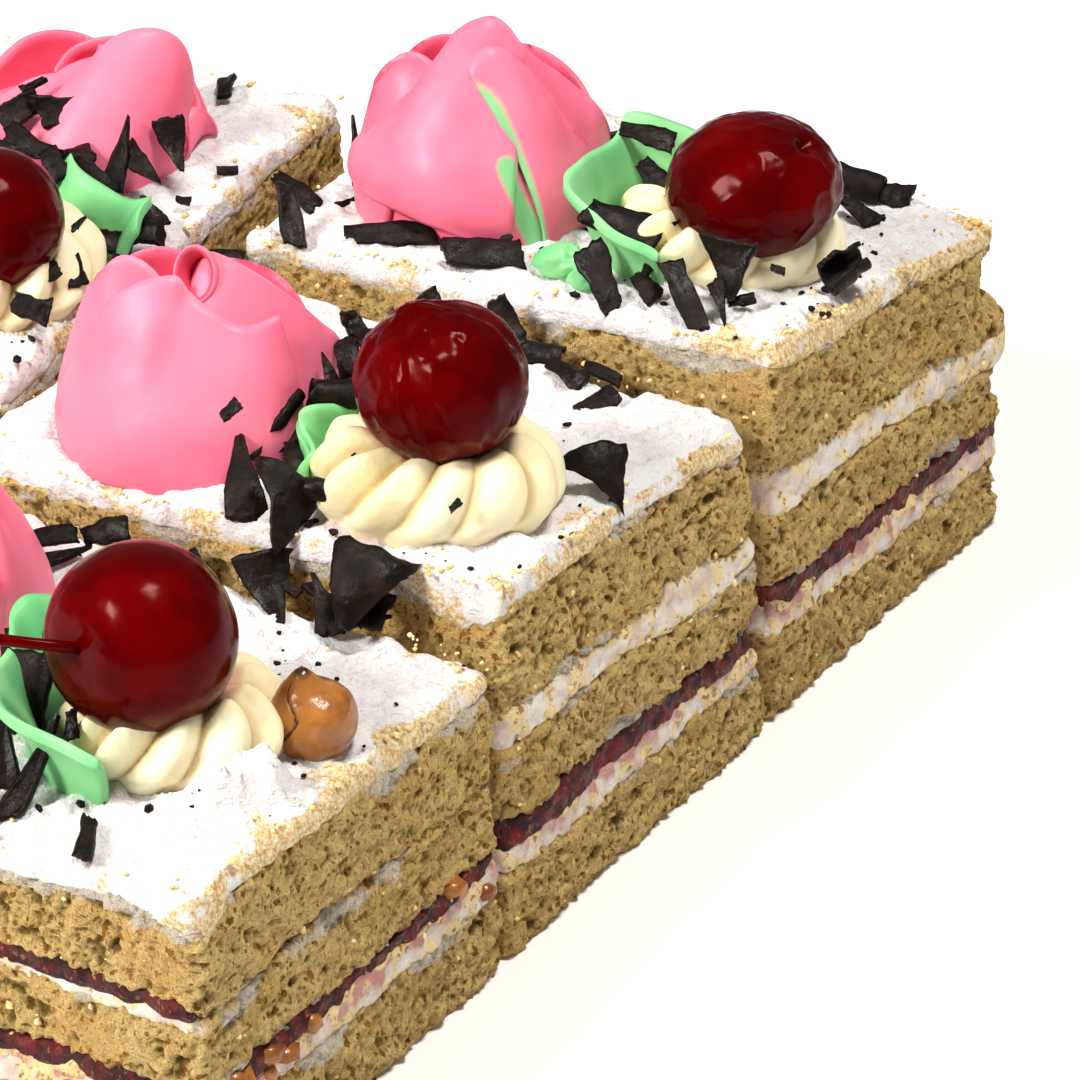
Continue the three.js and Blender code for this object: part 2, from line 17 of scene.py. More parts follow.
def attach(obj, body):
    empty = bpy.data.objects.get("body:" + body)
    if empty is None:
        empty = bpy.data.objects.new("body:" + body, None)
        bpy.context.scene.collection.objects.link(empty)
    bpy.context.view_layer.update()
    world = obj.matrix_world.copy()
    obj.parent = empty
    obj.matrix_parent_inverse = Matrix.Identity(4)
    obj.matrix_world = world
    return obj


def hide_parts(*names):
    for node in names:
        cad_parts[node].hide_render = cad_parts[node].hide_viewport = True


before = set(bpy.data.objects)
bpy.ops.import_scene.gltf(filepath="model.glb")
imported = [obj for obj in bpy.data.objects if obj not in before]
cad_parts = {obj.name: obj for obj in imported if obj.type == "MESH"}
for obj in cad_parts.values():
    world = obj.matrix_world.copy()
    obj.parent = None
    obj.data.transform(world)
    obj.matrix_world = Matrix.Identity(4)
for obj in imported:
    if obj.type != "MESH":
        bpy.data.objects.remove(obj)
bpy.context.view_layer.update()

# %% [markdown]
# Sizes come first. Every slice is described in its own directions: u runs along the slice towards
# the cherry, v runs across it, and z goes up, all in millimetres. The same numbers shape the plain
# solids, so the fine pieces land where the plain ones are. A slice's corners are the heights of its
# top at the front left, front right, back right and back left. Its lean is how far its front, right,
# back and left walls draw in at 45 mm, and free is the share of room that each wall has before the
# next slice.

# %% Sizes of the four slices
MIDDLE = (-68.8, 86.7)
HALF_WIDTH = 28.5
LEAN_HEIGHT = 45.0
SEAT = 0.4

PLAIN = [("sponge_bottom", "sponge", 0.235), ("cream_lower", "cream", 0.30), ("jam", "jam", 0.355),
         ("sponge_middle", "sponge", 0.57), ("cream_upper", "cream", 0.645), ("sponge_top", "sponge", 0.935)]
NUTTY = [("sponge_bottom", "sponge", 0.27), ("cream_lower", "cream", 0.355), ("jam", "jam", 0.40),
         ("sponge_middle", "sponge", 0.605), ("cream_upper", "cream", 0.64), ("jam_upper", "jam", 0.68),
         ("sponge_top", "sponge", 0.93)]

SLICES = [
    dict(name="slice1", at=(-37, 28.5), turn=0, half=37, layers=NUTTY, seed=3,
         corners=(38.5, 41, 38.5, 40.5), lean=(0.4, 0.3, 1.6, 0.5), free=(1, 1, 0.3, 1),
         rose=dict(u=-20, v=2.5, radius=14.3),
         rosette=dict(u=17.2, v=-2.6, radius=12, height=6.4, turn=12),
         cherry=dict(u=16, v=-6.5, z=53.6, radius=10.1, squash=0.98, dimple=(-0.2, -0.95, 0.24),
                     dip=(1.5, 0.42), wrinkle=0.004, pleat=0, stem=24),
         leaf=dict(start=132, end=276, reach=2.8, flare=4, height=6.2, front=1.7)),
    dict(name="slice2", at=(-37, 86.7), turn=0, half=37, layers=PLAIN, seed=11,
         corners=(43.5, 47, 41.5, 43), lean=(1.5, 1.0, 3.6, 0.6), free=(0.3, 1, 0.3, 0.4),
         rose=dict(u=-14.5, v=-11.5, radius=14.6),
         rosette=dict(u=19, v=-12.2, radius=13.1, height=8, turn=0),
         cherry=dict(u=20, v=-13.2, z=60.6, radius=9.4, squash=0.93, dimple=(-0.28, -0.1, 0.95),
                     dip=(-1.0, 0.2), wrinkle=0.03, pleat=0.022, stem=0),
         leaf=dict(start=128, end=222, reach=2.0, flare=0.7, height=6)),
    dict(name="slice3", at=(-36.75, 144.9), turn=0, half=36.75, layers=PLAIN, seed=23,
         corners=(45.5, 49.5, 41, 44), lean=(0.6, 0.3, 0.5, 0.6), free=(0.3, 1, 1, 0.6),
         rose=dict(u=-15.8, v=-7.4, radius=14.3),
         rosette=dict(u=16.8, v=-3.2, radius=13.1, height=6.8, turn=20),
         cherry=dict(u=21.2, v=-5.5, z=56.6, radius=10.3, squash=0.81, dimple=(0.62, 0.1, 0.78),
                     dip=(1.6, 0.15), wrinkle=0.022, pleat=0, stem=0),
         leaf=dict(start=122, end=268, reach=2.2, flare=3, height=8.8,
                   lumps=[(-12.5, -17.8, 1.8, (3.3, 2.6, 2.2)), (-8, -19.4, 1, (2.4, 1.8, 1.4))])),
    dict(name="slice4", at=(-106.8, 110.5), turn=-85.5, half=41, layers=PLAIN, seed=37,
         corners=(45, 45, 45, 46.5), lean=(0.8, 1.0, 0.6, 0.8), free=(1, 1, 0.3, 1),
         rose=dict(u=-14.6, v=5.6, radius=13.6),
         rosette=dict(u=20.8, v=14, radius=13, height=6.6, turn=8),
         cherry=dict(u=24, v=16.6, z=56, radius=8.9, squash=0.95, dimple=(0.1, -0.2, 0.97),
                     dip=(1.0, 0.2), wrinkle=0.01, pleat=0, stem=0),
         leaf=dict(start=122, end=228, reach=2.6, flare=3.2, height=5.4)),
]
BY_NAME = {s["name"]: s for s in SLICES}
print("slices", list(BY_NAME))

# %% [markdown]
# Crumb, cream and frosting are all uneven, and the unevenness has to be the same on every run.
# A noise that is worked out from the place itself does that: each corner of a fine lattice gets a
# fixed value, and a point takes a smooth mix of the eight corners round it. A cell noise gives the
# distance to the nearest of many scattered points, which is the shape of the bubbles in sponge.

# %% Noise worked out for whole arrays of points
def lattice(ix, iy, iz, seed):
    """A fixed value from 0 to 1 for each whole-numbered place: the three numbers are mixed by
    multiplying with large odd numbers and folding the upper bits down."""
    mixed = (ix * 374761393 + iy * 668265263 + iz * 2246822519 + seed * 3266489917) & 0xFFFFFFFF
    mixed = ((mixed ^ (mixed >> 15)) * 2246822519) & 0xFFFFFFFF
    mixed = ((mixed ^ (mixed >> 13)) * 3266489917) & 0xFFFFFFFF
    return ((mixed ^ (mixed >> 16)) & 0xFFFFFF) / float(0xFFFFFF)


def smooth_noise(points, size, seed):
    """Value noise from -1 to 1: the values at the eight lattice corners round a point, mixed with
    weights that ease in and out, on a lattice of the given size in millimetres."""
    place = points / size
    low = np.floor(place).astype(np.int64)
    part = place - low
    ease = part * part * (3 - 2 * part)
    total = np.zeros(len(points))
    for dx in (0, 1):
        for dy in (0, 1):
            for dz in (0, 1):
                weight = ((ease[:, 0] if dx else 1 - ease[:, 0]) * (ease[:, 1] if dy else 1 - ease[:, 1])
                          * (ease[:, 2] if dz else 1 - ease[:, 2]))
                total += weight * lattice(low[:, 0] + dx, low[:, 1] + dy, low[:, 2] + dz, seed)
    return 2 * total - 1


def layered_noise(points, size, seed, octaves=3):
    """Sum of value noises, each with half the size and half the strength of the one before."""
    total = np.zeros(len(points))
    for k in range(octaves):
        total += smooth_noise(points, size / 2 ** k, seed + 17 * k) / 2 ** k
    return total / (2 - 0.5 ** (octaves - 1))


def cell_noise(points, size, seed):
    """Distance to the nearest scattered point, in cell sizes, and that point's own fixed value:
    each cell of the lattice holds one point, and the 27 cells round a place are compared."""
    place = points / size
    low = np.floor(place).astype(np.int64)
    best = np.full(len(points), 9.0)
    owner = np.zeros(len(points))
    for dx in (-1, 0, 1):
        for dy in (-1, 0, 1):
            for dz in (-1, 0, 1):
                cx, cy, cz = low[:, 0] + dx, low[:, 1] + dy, low[:, 2] + dz
                gap = np.stack([cx + lattice(cx, cy, cz, seed), cy + lattice(cx, cy, cz, seed + 1),
                                cz + lattice(cx, cy, cz, seed + 2)], 1) - place
                distance = np.sqrt((gap ** 2).sum(1))
                nearer = distance < best
                best = np.where(nearer, distance, best)
                owner = np.where(nearer, lattice(cx, cy, cz, seed + 3), owner)
    return best, owner


def ease(x, low, high):
    """Smooth step: 0 below low, 1 above high, easing in and out between them."""
    t = np.clip((x - low) / (high - low), 0, 1)
    return t * t * (3 - 2 * t)


def mix(a, b, t):
    return a + (b - a) * t


def closing(x, start, width):
    """Rounded end: 1 up to the start, then a quarter of a circle down to 0 over the width."""
    return np.sqrt(np.clip(1 - (np.clip(x - start, 0, 1) / width) ** 2, 0, 1))


def bell(x, width):
    """Soft bell: 1 where x is 0, and a third of that where x is the width."""
    return np.exp(-(x / width) ** 2)


def full_turn(count):
    """Angles evenly round a full turn, without the last, which is the first again."""
    return np.linspace(0, 2 * np.pi, count + 1)[:-1]


def nearest_turn(angle):
    """The same angle brought between minus and plus half a turn."""
    return (angle + np.pi) % (2 * np.pi) - np.pi


def points_of(u, v, z=0):
    """Arrays of u, v and z, or of u and v at one height, as one array of points."""
    return np.stack([u, v, z + 0 * u], -1)


def over_grid(points, size, seed, octaves):
    """Layered noise for a whole grid of points, in the shape of the grid."""
    return layered_noise(points.reshape(-1, 3), size, seed, octaves).reshape(points.shape[:-1])


def scatter(a, b, c):
    """The fixed scatter value of the plain solids: the fraction part of a large sine."""
    wave = math.sin(a * 12.9898 + b * 78.233 + c * 37.719) * 43758.5453
    return wave - math.floor(wave)


print("noise at the origin", smooth_noise(np.zeros((1, 3)) + 0.3, 1.0, 1))

# %% [markdown]
# Every piece is a closed surface. Two shapes of grid are enough: a stack of rings, closed by a fan
# of triangles at each end, and a sheet with a top and a bottom face joined round its edge. The
# arrays go into the mesh in one step each, and the place of a piece is in its points.

# %% Grids into meshes
def place(s, points):
    """Turn a slice's own u, v and z in millimetres into the cake's directions in metres: a turn about
    the upright, then the slice's place, then the middle of the cake taken off."""
    c, n = math.cos(math.radians(s["turn"])), math.sin(math.radians(s["turn"]))
    u, v, z = points[..., 0], points[..., 1], points[..., 2]
    x = u * c - v * n + s["at"][0] - MIDDLE[0]
    y = u * n + v * c + s["at"][1] - MIDDLE[1]
    return points_of(x, y, z) / 1000


def ring_stack(rings, first, last):
    """Closed surface through rings of equal point counts: four-sided faces between neighbours in the
    stack, and a fan of triangles from a centre point at each end."""
    rows, count = rings.shape[:2]
    points = np.concatenate([rings.reshape(-1, 3), np.array([first, last])])
    j = np.arange(count)
    k = (j + 1) % count
    row = np.arange(rows - 1)[:, None] * count
    quads = np.stack([row + j, row + k, row + count + k, row + count + j], -1).reshape(-1, 4)
    top = (rows - 1) * count
    fans = np.concatenate([np.stack([np.full(count, rows * count), k, j], 1),
                           np.stack([np.full(count, rows * count + 1), top + j, top + k], 1)])
    return points, [quads, fans]


def sheet(upper, lower):
    """Closed sheet between two grids of the same size, with faces round the edge."""
    m, n = upper.shape[:2]
    points = np.concatenate([upper.reshape(-1, 3), lower.reshape(-1, 3)])
    number = np.arange(m * n).reshape(m, n)
    under = number + m * n
    a, b, c, d = number[:-1, :-1], number[1:, :-1], number[1:, 1:], number[:-1, 1:]
    faces = [np.stack([a, b, c, d], -1).reshape(-1, 4), np.stack([a, d, c, b], -1).reshape(-1, 4) + m * n]
    edge = np.concatenate([number[:, 0], number[-1, 1:], number[-2::-1, -1], number[0, -2::-1]])
    below = np.concatenate([under[:, 0], under[-1, 1:], under[-2::-1, -1], under[0, -2::-1]])
    faces.append(np.stack([edge[:-1], below[:-1], below[1:], edge[1:]], -1))
    return points, faces


def join(parts):
    """Join several point and face sets into one, moving the point numbers on."""
    points, faces, start = [], [], 0
    for part_points, part_faces in parts:
        points.append(part_points)
        faces += [f + start for f in part_faces]
        start += len(part_points)
    return np.concatenate(points), faces


def with_ends(rows, first=0, last=0):
    """Values of a stack of rings in one list, followed by those of its two centre points."""
    return np.append(np.concatenate(rows), [first, last])


def add_piece(s, name, shape, finish, values=None, stands_for=()):
    """Put a slice's points and faces into a new object in metres, smooth shaded, with named values
    a point. Names of pieces and nodes start with the slice's own."""
    points, faces = shape
    name = f"{s['name']}_{name}"
    stands_for = [f"{s['name']}_{node}" for node in stands_for]
    mesh = bpy.data.meshes.new(name)
    mesh.vertices.add(len(points))
    mesh.vertices.foreach_set("co", np.asarray(place(s, points), np.float32).ravel())
    sizes = np.concatenate([np.full(len(f), f.shape[1]) for f in faces])
    mesh.loops.add(int(sizes.sum()))
    mesh.loops.foreach_set("vertex_index", np.concatenate([f.ravel() for f in faces]).astype(np.int32))
    mesh.polygons.add(len(sizes))
    mesh.polygons.foreach_set("loop_start", np.concatenate([[0], np.cumsum(sizes)[:-1]]).astype(np.int32))
    mesh.update(calc_edges=True)
    mesh.polygons.foreach_set("use_smooth", np.ones(len(sizes), bool))
    for key, numbers in (values or {}).items():
        mesh.attributes.new(key, "FLOAT", "POINT").data.foreach_set("value", np.asarray(numbers, np.float32))
    mesh.materials.append(finish.material)
    piece = bpy.data.objects.new(name, mesh)
    bpy.context.scene.collection.objects.link(piece)
    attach(piece, "root")
    if stands_for:
        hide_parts(*stands_for)
    return piece


# %% [markdown]
# Finishes. Food is never one flat colour: sponge is toasted at its rims and has painted shade in its
# bubbles, cream has soft shade, jam is wet. Each material is a Principled shader whose colour and bump
# come from noise on the object's own coordinates, and from values stored on the mesh, such as how deep
# a bubble is, which sets the painted shade there, so colour and shape agree.


# %% A small kit for finishes
def color(hex_code):
    """Linear colour of a screen colour written as six hex digits."""
    parts = [int(hex_code[k:k + 2], 16) / 255 for k in (0, 2, 4)]
    return tuple(p / 12.92 if p <= 0.04045 else ((p + 0.055) / 1.055) ** 2.4 for p in parts) + (1.0,)


class Finish:
    """A material with its Principled shader, and short ways to add noise, values, mixes and bump."""

    def __init__(self, name, roughness, specular=0.4, **sockets):
        self.material = bpy.data.materials.new(name)
        self.material.use_nodes = True
        self.tree = self.material.node_tree
        self.shader = self.tree.nodes["Principled BSDF"]
        self.fill(self.shader, {"Roughness": roughness, "Specular IOR Level": specular})
        self.fill(self.shader, {key.replace("_", " "): value for key, value in sockets.items()})
        self.coords = self.tree.nodes.new("ShaderNodeTexCoord").outputs["Object"]

    def fill(self, node, sockets):
        """Link each socket to the output given for it, or give it the number or hex code."""
        for key, item in sockets.items():
            if isinstance(item, bpy.types.NodeSocket):
                self.tree.links.new(item, node.inputs[key])
            else:
                node.inputs[key].default_value = color(item) if isinstance(item, str) else item

    def add(self, kind, sockets):
        node = self.tree.nodes.new(kind)
        self.fill(node, sockets)
        return node

    def noise(self, scale, detail=4.0, rough=0.55):
        sockets = {"Scale": scale, "Detail": detail, "Roughness": rough, "Vector": self.coords}
        return self.add("ShaderNodeTexNoise", sockets).outputs["Fac"]

    def ridges(self, scale, detail=4.0):
        """Sharp crests with wide hollows between them, like torn crumb."""
        node = self.noise(scale, detail, 0.6).node
        node.noise_type = "RIDGED_MULTIFRACTAL"
        self.fill(node, {"Offset": 1.0, "Gain": 2.0})
        return node.outputs["Fac"]

    def cells(self, scale):
        """Distance to the nearest of scattered points."""
        return self.add("ShaderNodeTexVoronoi", {"Scale": scale, "Vector": self.coords}).outputs["Distance"]

    def product(self, first, second):
        node = self.add("ShaderNodeMath", {0: first, 1: second})
        node.operation = "MULTIPLY"
        return node.outputs["Value"]

    def value(self, name):
        node = self.tree.nodes.new("ShaderNodeAttribute")
        node.attribute_name = name
        return node.outputs["Fac"]

    def ramp(self, source, low, high, start=0.0, end=1.0):
        """Ease from start to end while the source goes from low to high."""
        sockets = {"Value": source, "From Min": low, "From Max": high, "To Min": start, "To Max": end}
        node = self.add("ShaderNodeMapRange", sockets)
        node.interpolation_type = "SMOOTHSTEP"
        return node.outputs["Result"]

    def blend(self, share, first, second):
        """Colour mix: first where the share is 0, second where it is 1; either may be a hex code."""
        node = self.tree.nodes.new("ShaderNodeMix")
        node.data_type = "RGBA"
        self.fill(node, {0: share, 6: first, 7: second})
        return node.outputs[2]

    def lay(self, under, over, low, high, most=1.0, noise=None, value=None):
        """One colour laid over another: its share eases from 0 to the most while a noise, a value
        stored on the mesh, or the product of both goes from low to high."""
        source = self.noise(*noise) if noise else self.value(value)
        if noise and value:
            source = self.product(self.value(value), source)
        return self.blend(self.ramp(source, low, high, 0, most), under, over)

    def paint(self, source):
        self.fill(self.shader, {"Base Color": source})

    def gloss(self, source):
        self.fill(self.shader, {"Roughness": source})

    def bump(self, source, distance, strength=1.0):
        """Bump in metres of height; a second call adds to the first."""
        node = self.add("ShaderNodeBump", {"Height": source, "Distance": distance, "Strength": strength})
        old = self.shader.inputs["Normal"]
        if old.is_linked:
            self.fill(node, {"Normal": old.links[0].from_socket})
        self.fill(self.shader, {"Normal": node.outputs["Normal"]})


# %% [markdown]
# Sponge. The crumb is pale yellow and toasted along the rims, with painted highlights on its torn cell
# walls and painted shade, darker and browner, in its hollows. Cream is smeared over it beside the
# fillings. It is dry, so it has almost no shine. A pattern of crests under one millimetre gives the
# finest grain, which would take far too many faces to model.


# %% Sponge finish
sponge = Finish("sponge", 0.95, 0.08, Subsurface_Weight=0.06, Subsurface_Scale=0.0015)
grain = sponge.ridges(900, 5)
# painted highlight on the crests of the grain and painted shade in its hollows; the same ridged noise gives
# the bump below
crumb = sponge.blend(sponge.ramp(grain, 0.55, 1.2), "966428", "FFDB92")
tone = sponge.lay(crumb, "BC8238", 0.45, 0.62, 0.3, noise=(2300, 3, 0.7))
broad = sponge.lay(tone, "D89C42", 0.4, 0.7, 0.3, noise=(110, 3))
toasted = sponge.lay(broad, "B87C34", 0.2, 0.44, 0.3, noise=(900, 4, 0.65), value="toast")
# painted shade: darker and browner deep in the bubbles, by how deep each point lies
deep = sponge.lay(toasted, "5E4415", 0.3, 1.0, 0.85, value="pit_shade")
soaked = sponge.lay(deep, "7E2F2C", 0.2, 0.4, 0.6, noise=(380, 4), value="soak")
sponge.paint(sponge.lay(soaked, "F4EADA", 0.2, 0.34, 0.85, noise=(900, 4, 0.7), value="smear"))
sponge.bump(grain, 0.0006, 1.0)
sponge.bump(sponge.noise(2300, 4, 0.7), 0.0007, 0.9)

crumb_finish = Finish("crumbs", 0.95, 0.08, Subsurface_Weight=0.1, Subsurface_Scale=0.001)
crumb_finish.paint(crumb_finish.lay("F8E6B0", "E6C078", 0.35, 0.65, noise=(300, 3)))
crumb_finish.bump(crumb_finish.noise(2600, 3, 0.6), 0.0003, 0.7)

# %% [markdown]
# Cream between the layers is white where it is thick, stained pink beside the jam, and full of
# crumbs that the knife dragged into it.

# %% Cream finish
cream = Finish("cream", 0.65, 0.25, Subsurface_Weight=0.12, Subsurface_Scale=0.002)
tinted = cream.lay("F4EAE0", "DFC8BA", 0.4, 0.65, noise=(210, 4))
stained = cream.lay(tinted, "C4837C", 0.1, 0.5, 0.9, noise=(330, 4), value="stain")
crumbs = cream.blend(cream.ramp(cream.ridges(900, 5), 0.55, 1.3), "A07434", "F6DA9C")
cream.paint(cream.lay(stained, crumbs, 0.22, 0.36, 0.92, noise=(1500, 5, 0.85), value="bits"))
cream.bump(cream.noise(1100, 5, 0.7), 0.0009, 1.0)

# %% [markdown]
# Jam is cooked dark cherries: nearly black red, wet in places, with brighter red where it is thin,
# and crumbs stuck in it.

# %% Jam finish
jam = Finish("jam", 0.4, 0.3)
jam_red = jam.lay("2C0307", "68090F", 0.4, 0.68, noise=(420, 4))
jam.paint(jam.lay(jam_red, "98643C", 0.58, 0.66, 0.6, noise=(1100, 4, 0.65)))
jam.gloss(jam.ramp(jam.noise(500, 3), 0.4, 0.6, 0.42, 0.75))
jam.bump(jam.noise(1300, 4), 0.0007, 0.9)

# %% [markdown]
# Frosting is whipped and spread with a spatula. It is close to white, a little grey and violet in
# broad patches, and where it is thin near the rim the crumb shows through it in grains.

# %% Frosting finish
frosting = Finish("frosting", 0.6, 0.25, Subsurface_Weight=0.15, Subsurface_Scale=0.002)
white = frosting.lay("FCFAF9", "EEE7EA", 0.38, 0.7, noise=(220, 4))
pinkish = frosting.lay(white, "EFC9CF", 0.3, 1.0, 0.35, value="stain")
grains = frosting.lay("CB9A50", "F6E2B2", 0.38, 0.6, noise=(1900, 4, 0.7))
frosting.paint(frosting.lay(pinkish, grains, 0.24, 0.4, 0.95, noise=(1200, 4, 0.7), value="thin"))
frosting.bump(frosting.noise(1700, 5, 0.7), 0.0006, 0.9)
frosting.bump(frosting.noise(500, 4, 0.6), 0.0011, 0.8)

# %% [markdown]
# Piped cream keeps the smooth skin that the nozzle gives it, so the rose, leaf and rosette have a
# soft sheen and hardly any bump, only small bubbles. Light goes some way into them.

# %% Piped cream finishes
def piped(name, light, dark, folds, rough=0.42):
    """Smooth coloured cream: two close tones in broad patches, painted shade that darkens the
    stored folds, and a few round marks where bubbles broke."""
    finish = Finish(name, rough, 0.3, Subsurface_Weight=0.15, Subsurface_Scale=0.002)
    finish.shader.inputs["Subsurface Radius"].default_value = (1.0, 0.6, 0.5)
    tone = finish.lay(light, dark, 0.35, 0.7, noise=(70, 2))
    shaded_folds = finish.lay(tone, folds, 0.1, 1.0, 0.9, value="fold")
    bubbles = finish.ramp(finish.cells(330), 0.09, 0.14, 1, 0)
    finish.bump(bubbles, 0.00025, -0.5)
    finish.bump(finish.noise(420, 2), 0.0003, 0.25)
    return finish, shaded_folds


# the third colour of each is painted shade for its stored folds
rose_finish, rose_paint = piped("rose", "FB7E9B", "F06C8A", "C2284A")
rose_finish.paint(rose_finish.lay(rose_paint, "86C88A", 0.2, 0.8, value="green"))
leaf_finish, leaf_paint = piped("leaf", "8FD492", "67BC78", "0F5A26")
leaf_finish.paint(leaf_paint)
rosette_finish, rosette_paint = piped("rosette", "F8EFCB", "EFE0B0", "C0A262", 0.5)
rosette_finish.paint(rosette_finish.lay(rosette_paint, "D8786E", 0.3, 1.0, 0.5, value="pink"))
rosette_finish.bump(rosette_finish.noise(900, 4, 0.6), 0.0003, 0.4)

# %% [markdown]
# Candied cherries are glassy: deep red, with sharp reflections. Chocolate is dark brown with a dull
# bloom, and the hazelnut is glazed caramel, nearly black in its crack and at its tip.

# %% Cherry, chocolate and nut finishes
cherry_finish = Finish("cherry", 0.16, 0.14, IOR=1.33, Specular_Tint=(1.0, 0.5, 0.5, 1.0))
cherry_finish.paint(cherry_finish.lay("420002", "5A0003", 0.4, 0.7, noise=(120, 3)))
cherry_finish.bump(cherry_finish.noise(300, 2), 0.0002, 0.2)

chocolate = Finish("chocolate", 0.42, 0.16)
chocolate.paint(chocolate.lay("0B0504", "1E110C", 0.42, 0.68, noise=(420, 4)))
chocolate.gloss(chocolate.ramp(chocolate.noise(260, 3), 0.35, 0.65, 0.36, 0.65))
chocolate.bump(chocolate.noise(800, 4), 0.0004, 0.6)

nut = Finish("hazelnut", 0.24, 0.45)
shell = nut.lay("A96C30", "7A4214", 0.35, 0.7, noise=(250, 3))
nut.paint(nut.lay(shell, "3E2010", 0.2, 0.9, value="cut"))
nut.bump(nut.noise(500, 3), 0.0004, 0.4)
print("finishes", len(bpy.data.materials))

# %% [markdown]
# Every slice has four cut walls and a top that slopes from corner to corner. The height of the top
# and the height of each limit between layers are simple formulas of u and v, shared by all pieces.

# %% Heights of a slice
CROWN = 1.12
RIPPLE = 0.3


def top_height(s, u, v):
    """Plain top: the four corner heights mixed over the slice, with a low crown in the middle."""
    a = np.clip((u / s["half"] + 1) / 2, 0, 1)
    b = np.clip((v / HALF_WIDTH + 1) / 2, 0, 1)
    fl, fr, br, bl = s["corners"]
    return mix(mix(fl, fr, a), mix(bl, br, a), b) + CROWN * a * (1 - a) * 4 * b * (1 - b)


def limit_height(s, share, u, v):
    """Limit between two layers: a share of the top's height with a low ripple both ways."""
    if share == 0:
        return 0 * u
    ripple = np.sin(u / 9 + 7 * share + s["seed"]) + np.sin(v / 8 + 11 * share + 2 * s["seed"])
    return share * top_height(s, u, v) + RIPPLE * ripple


def beyond(topping, u, v):
    """How far a place lies outside the foot of a round topping, in millimetres."""
    return np.hypot(u - topping["u"], v - topping["v"]) - topping["radius"]


def beside(topping, far, angle):
    """Place at a distance and an angle from a topping's middle."""
    return topping["u"] + far * np.cos(angle), topping["v"] + far * np.sin(angle)


def open_share(s, u, v):
    """Share of the frosting's waves left at a point: none under a topping, all a little way off."""
    share = 1.0
    for topping, spare in ((s["rose"], 1), (s["rosette"], 6)):
        share = share * ease(beyond(topping, u, v) - spare, 0, 4)
    return share


# %% [markdown]
# The walls. A slice's outline is a rectangle with small rounded corners that draws in towards the
# top, as far as the knife leaned. Points are spread evenly round it, and each knows its outward way,
# its number round the slice and how much room it has before the next slice. Tears and swells that
# stand out in the wall are a short list of soft dents, each with a place, a width and a depth.


# %% Outline of a slice, and its dents
WALL_STEP = 0.38
CORNER = 1.5
DENTS = {  # u, v, z, width and depth in millimetres, and a minus depth swells out
    "slice1": [(37, -8, 24, 9, 0.8), (37, 22, 20, 4, 1.0), (37, -20, 33, 6, -0.7),
               (-12, -28.5, 22, 10, 0.9)],
    "slice2": [(37, 12, 36, 7, 0.8), (37, -16, 29, 5, -0.8), (37, -28, 17, 3.5, 2.0), (37, 26, 15, 3, 1.4),
               (37, 20, 25, 5, -0.6), (37, -6, 16, 4, 0.8)],
    "slice3": [(37, 27.5, 34.5, 3.4, 4.6), (37, 26, 27, 4.6, -1.6), (37, 28.5, 20.5, 2.4, 1.8),
               (37, -28, 31, 3.5, 1.4), (37, -27, 22, 4, -0.9), (37, -28, 15.5, 3, 1.8),
               (37, 5, 38, 8, 0.7)],
    "slice4": [(10, 28.5, 30, 8, 0.9), (-41, -5, 20, 9, 0.9)],
}
SHUT = {("slice1", "cream_upper"): (0.25, 0.95, 0.3, 0.3), ("slice1", "jam_upper"): (0.0, 0.9, 0.3, 0.3)}
NOT_SHUT = (0, 0, 0, 0)
SLOW_WAVE = 0.21
CLEAR = 0.1


def by_side(edge, shares):
    """Mix four shares, for the front, right, back and left walls, by where each point faces."""
    weight = np.clip(np.stack([-edge["nv"], edge["nu"], edge["nv"], -edge["nu"]]), 0, 1) ** 2
    return (weight * np.array(shares, float)[:, None]).sum(0)


def outline(s):
    """Evenly spaced points round the rounded rectangle: place, outward way, number round, freedom."""
    half, width = s["half"], HALF_WIDTH
    straight = [2 * (half - CORNER), 2 * (width - CORNER)]
    arc = math.pi / 2 * CORNER
    total = 2 * sum(straight) + 4 * arc
    t = np.arange(int(total / WALL_STEP)) / int(total / WALL_STEP) * total
    edge = {key: np.zeros(len(t)) for key in ("u", "v", "nu", "nv", "number")}
    starts = [(-half + CORNER, -width, 1, 0), (half, -width + CORNER, 0, 1),
              (half - CORNER, width, -1, 0), (-half, width - CORNER, 0, -1)]
    distance, number = 0.0, 0
    for k, (su, sv, du, dv) in enumerate(starts):
        length, steps = straight[k % 2], (9, 6)[k % 2]
        on = (t >= distance) & (t < distance + length)
        far = t[on] - distance
        edge["u"][on], edge["v"][on] = su + du * far, sv + dv * far
        edge["nu"][on], edge["nv"][on] = dv, -du
        edge["number"][on] = number + steps * far / length
        distance += length
        number += steps
        on = (t >= distance) & (t < distance + arc)
        angle = (t[on] - distance) / CORNER
        cu, cv = su + du * length - dv * CORNER, sv + dv * length + du * CORNER
        edge["nu"][on] = dv * np.cos(angle) + du * np.sin(angle)
        edge["nv"][on] = -du * np.cos(angle) + dv * np.sin(angle)
        edge["u"][on], edge["v"][on] = cu + CORNER * edge["nu"][on], cv + CORNER * edge["nv"][on]
        edge["number"][on] = number
        distance += arc
    edge["free"] = by_side(edge, s["free"])
    edge["flat"] = points_of(edge["u"], edge["v"])
    return edge


def leaned(s, u, v, z):
    """Move a point of the straight outline in with the leaning walls at height z."""
    front, right, back, left = (amount * z / LEAN_HEIGHT for amount in s["lean"])
    a = (u + s["half"]) / (2 * s["half"])
    b = (v + HALF_WIDTH) / (2 * HALF_WIDTH)
    return mix(-s["half"] + left, s["half"] - right, a), mix(-HALF_WIDTH + front, HALF_WIDTH - back, b)


def dents(s, u, v, z):
    """Sum of soft bells: each dent's depth times the bell of the distance from its place."""
    return sum(deep * np.exp(-((u - du) ** 2 + (v - dv) ** 2 + (z - dz) ** 2) / wide ** 2)
               for du, dv, dz, wide, deep in DENTS[s["name"]])


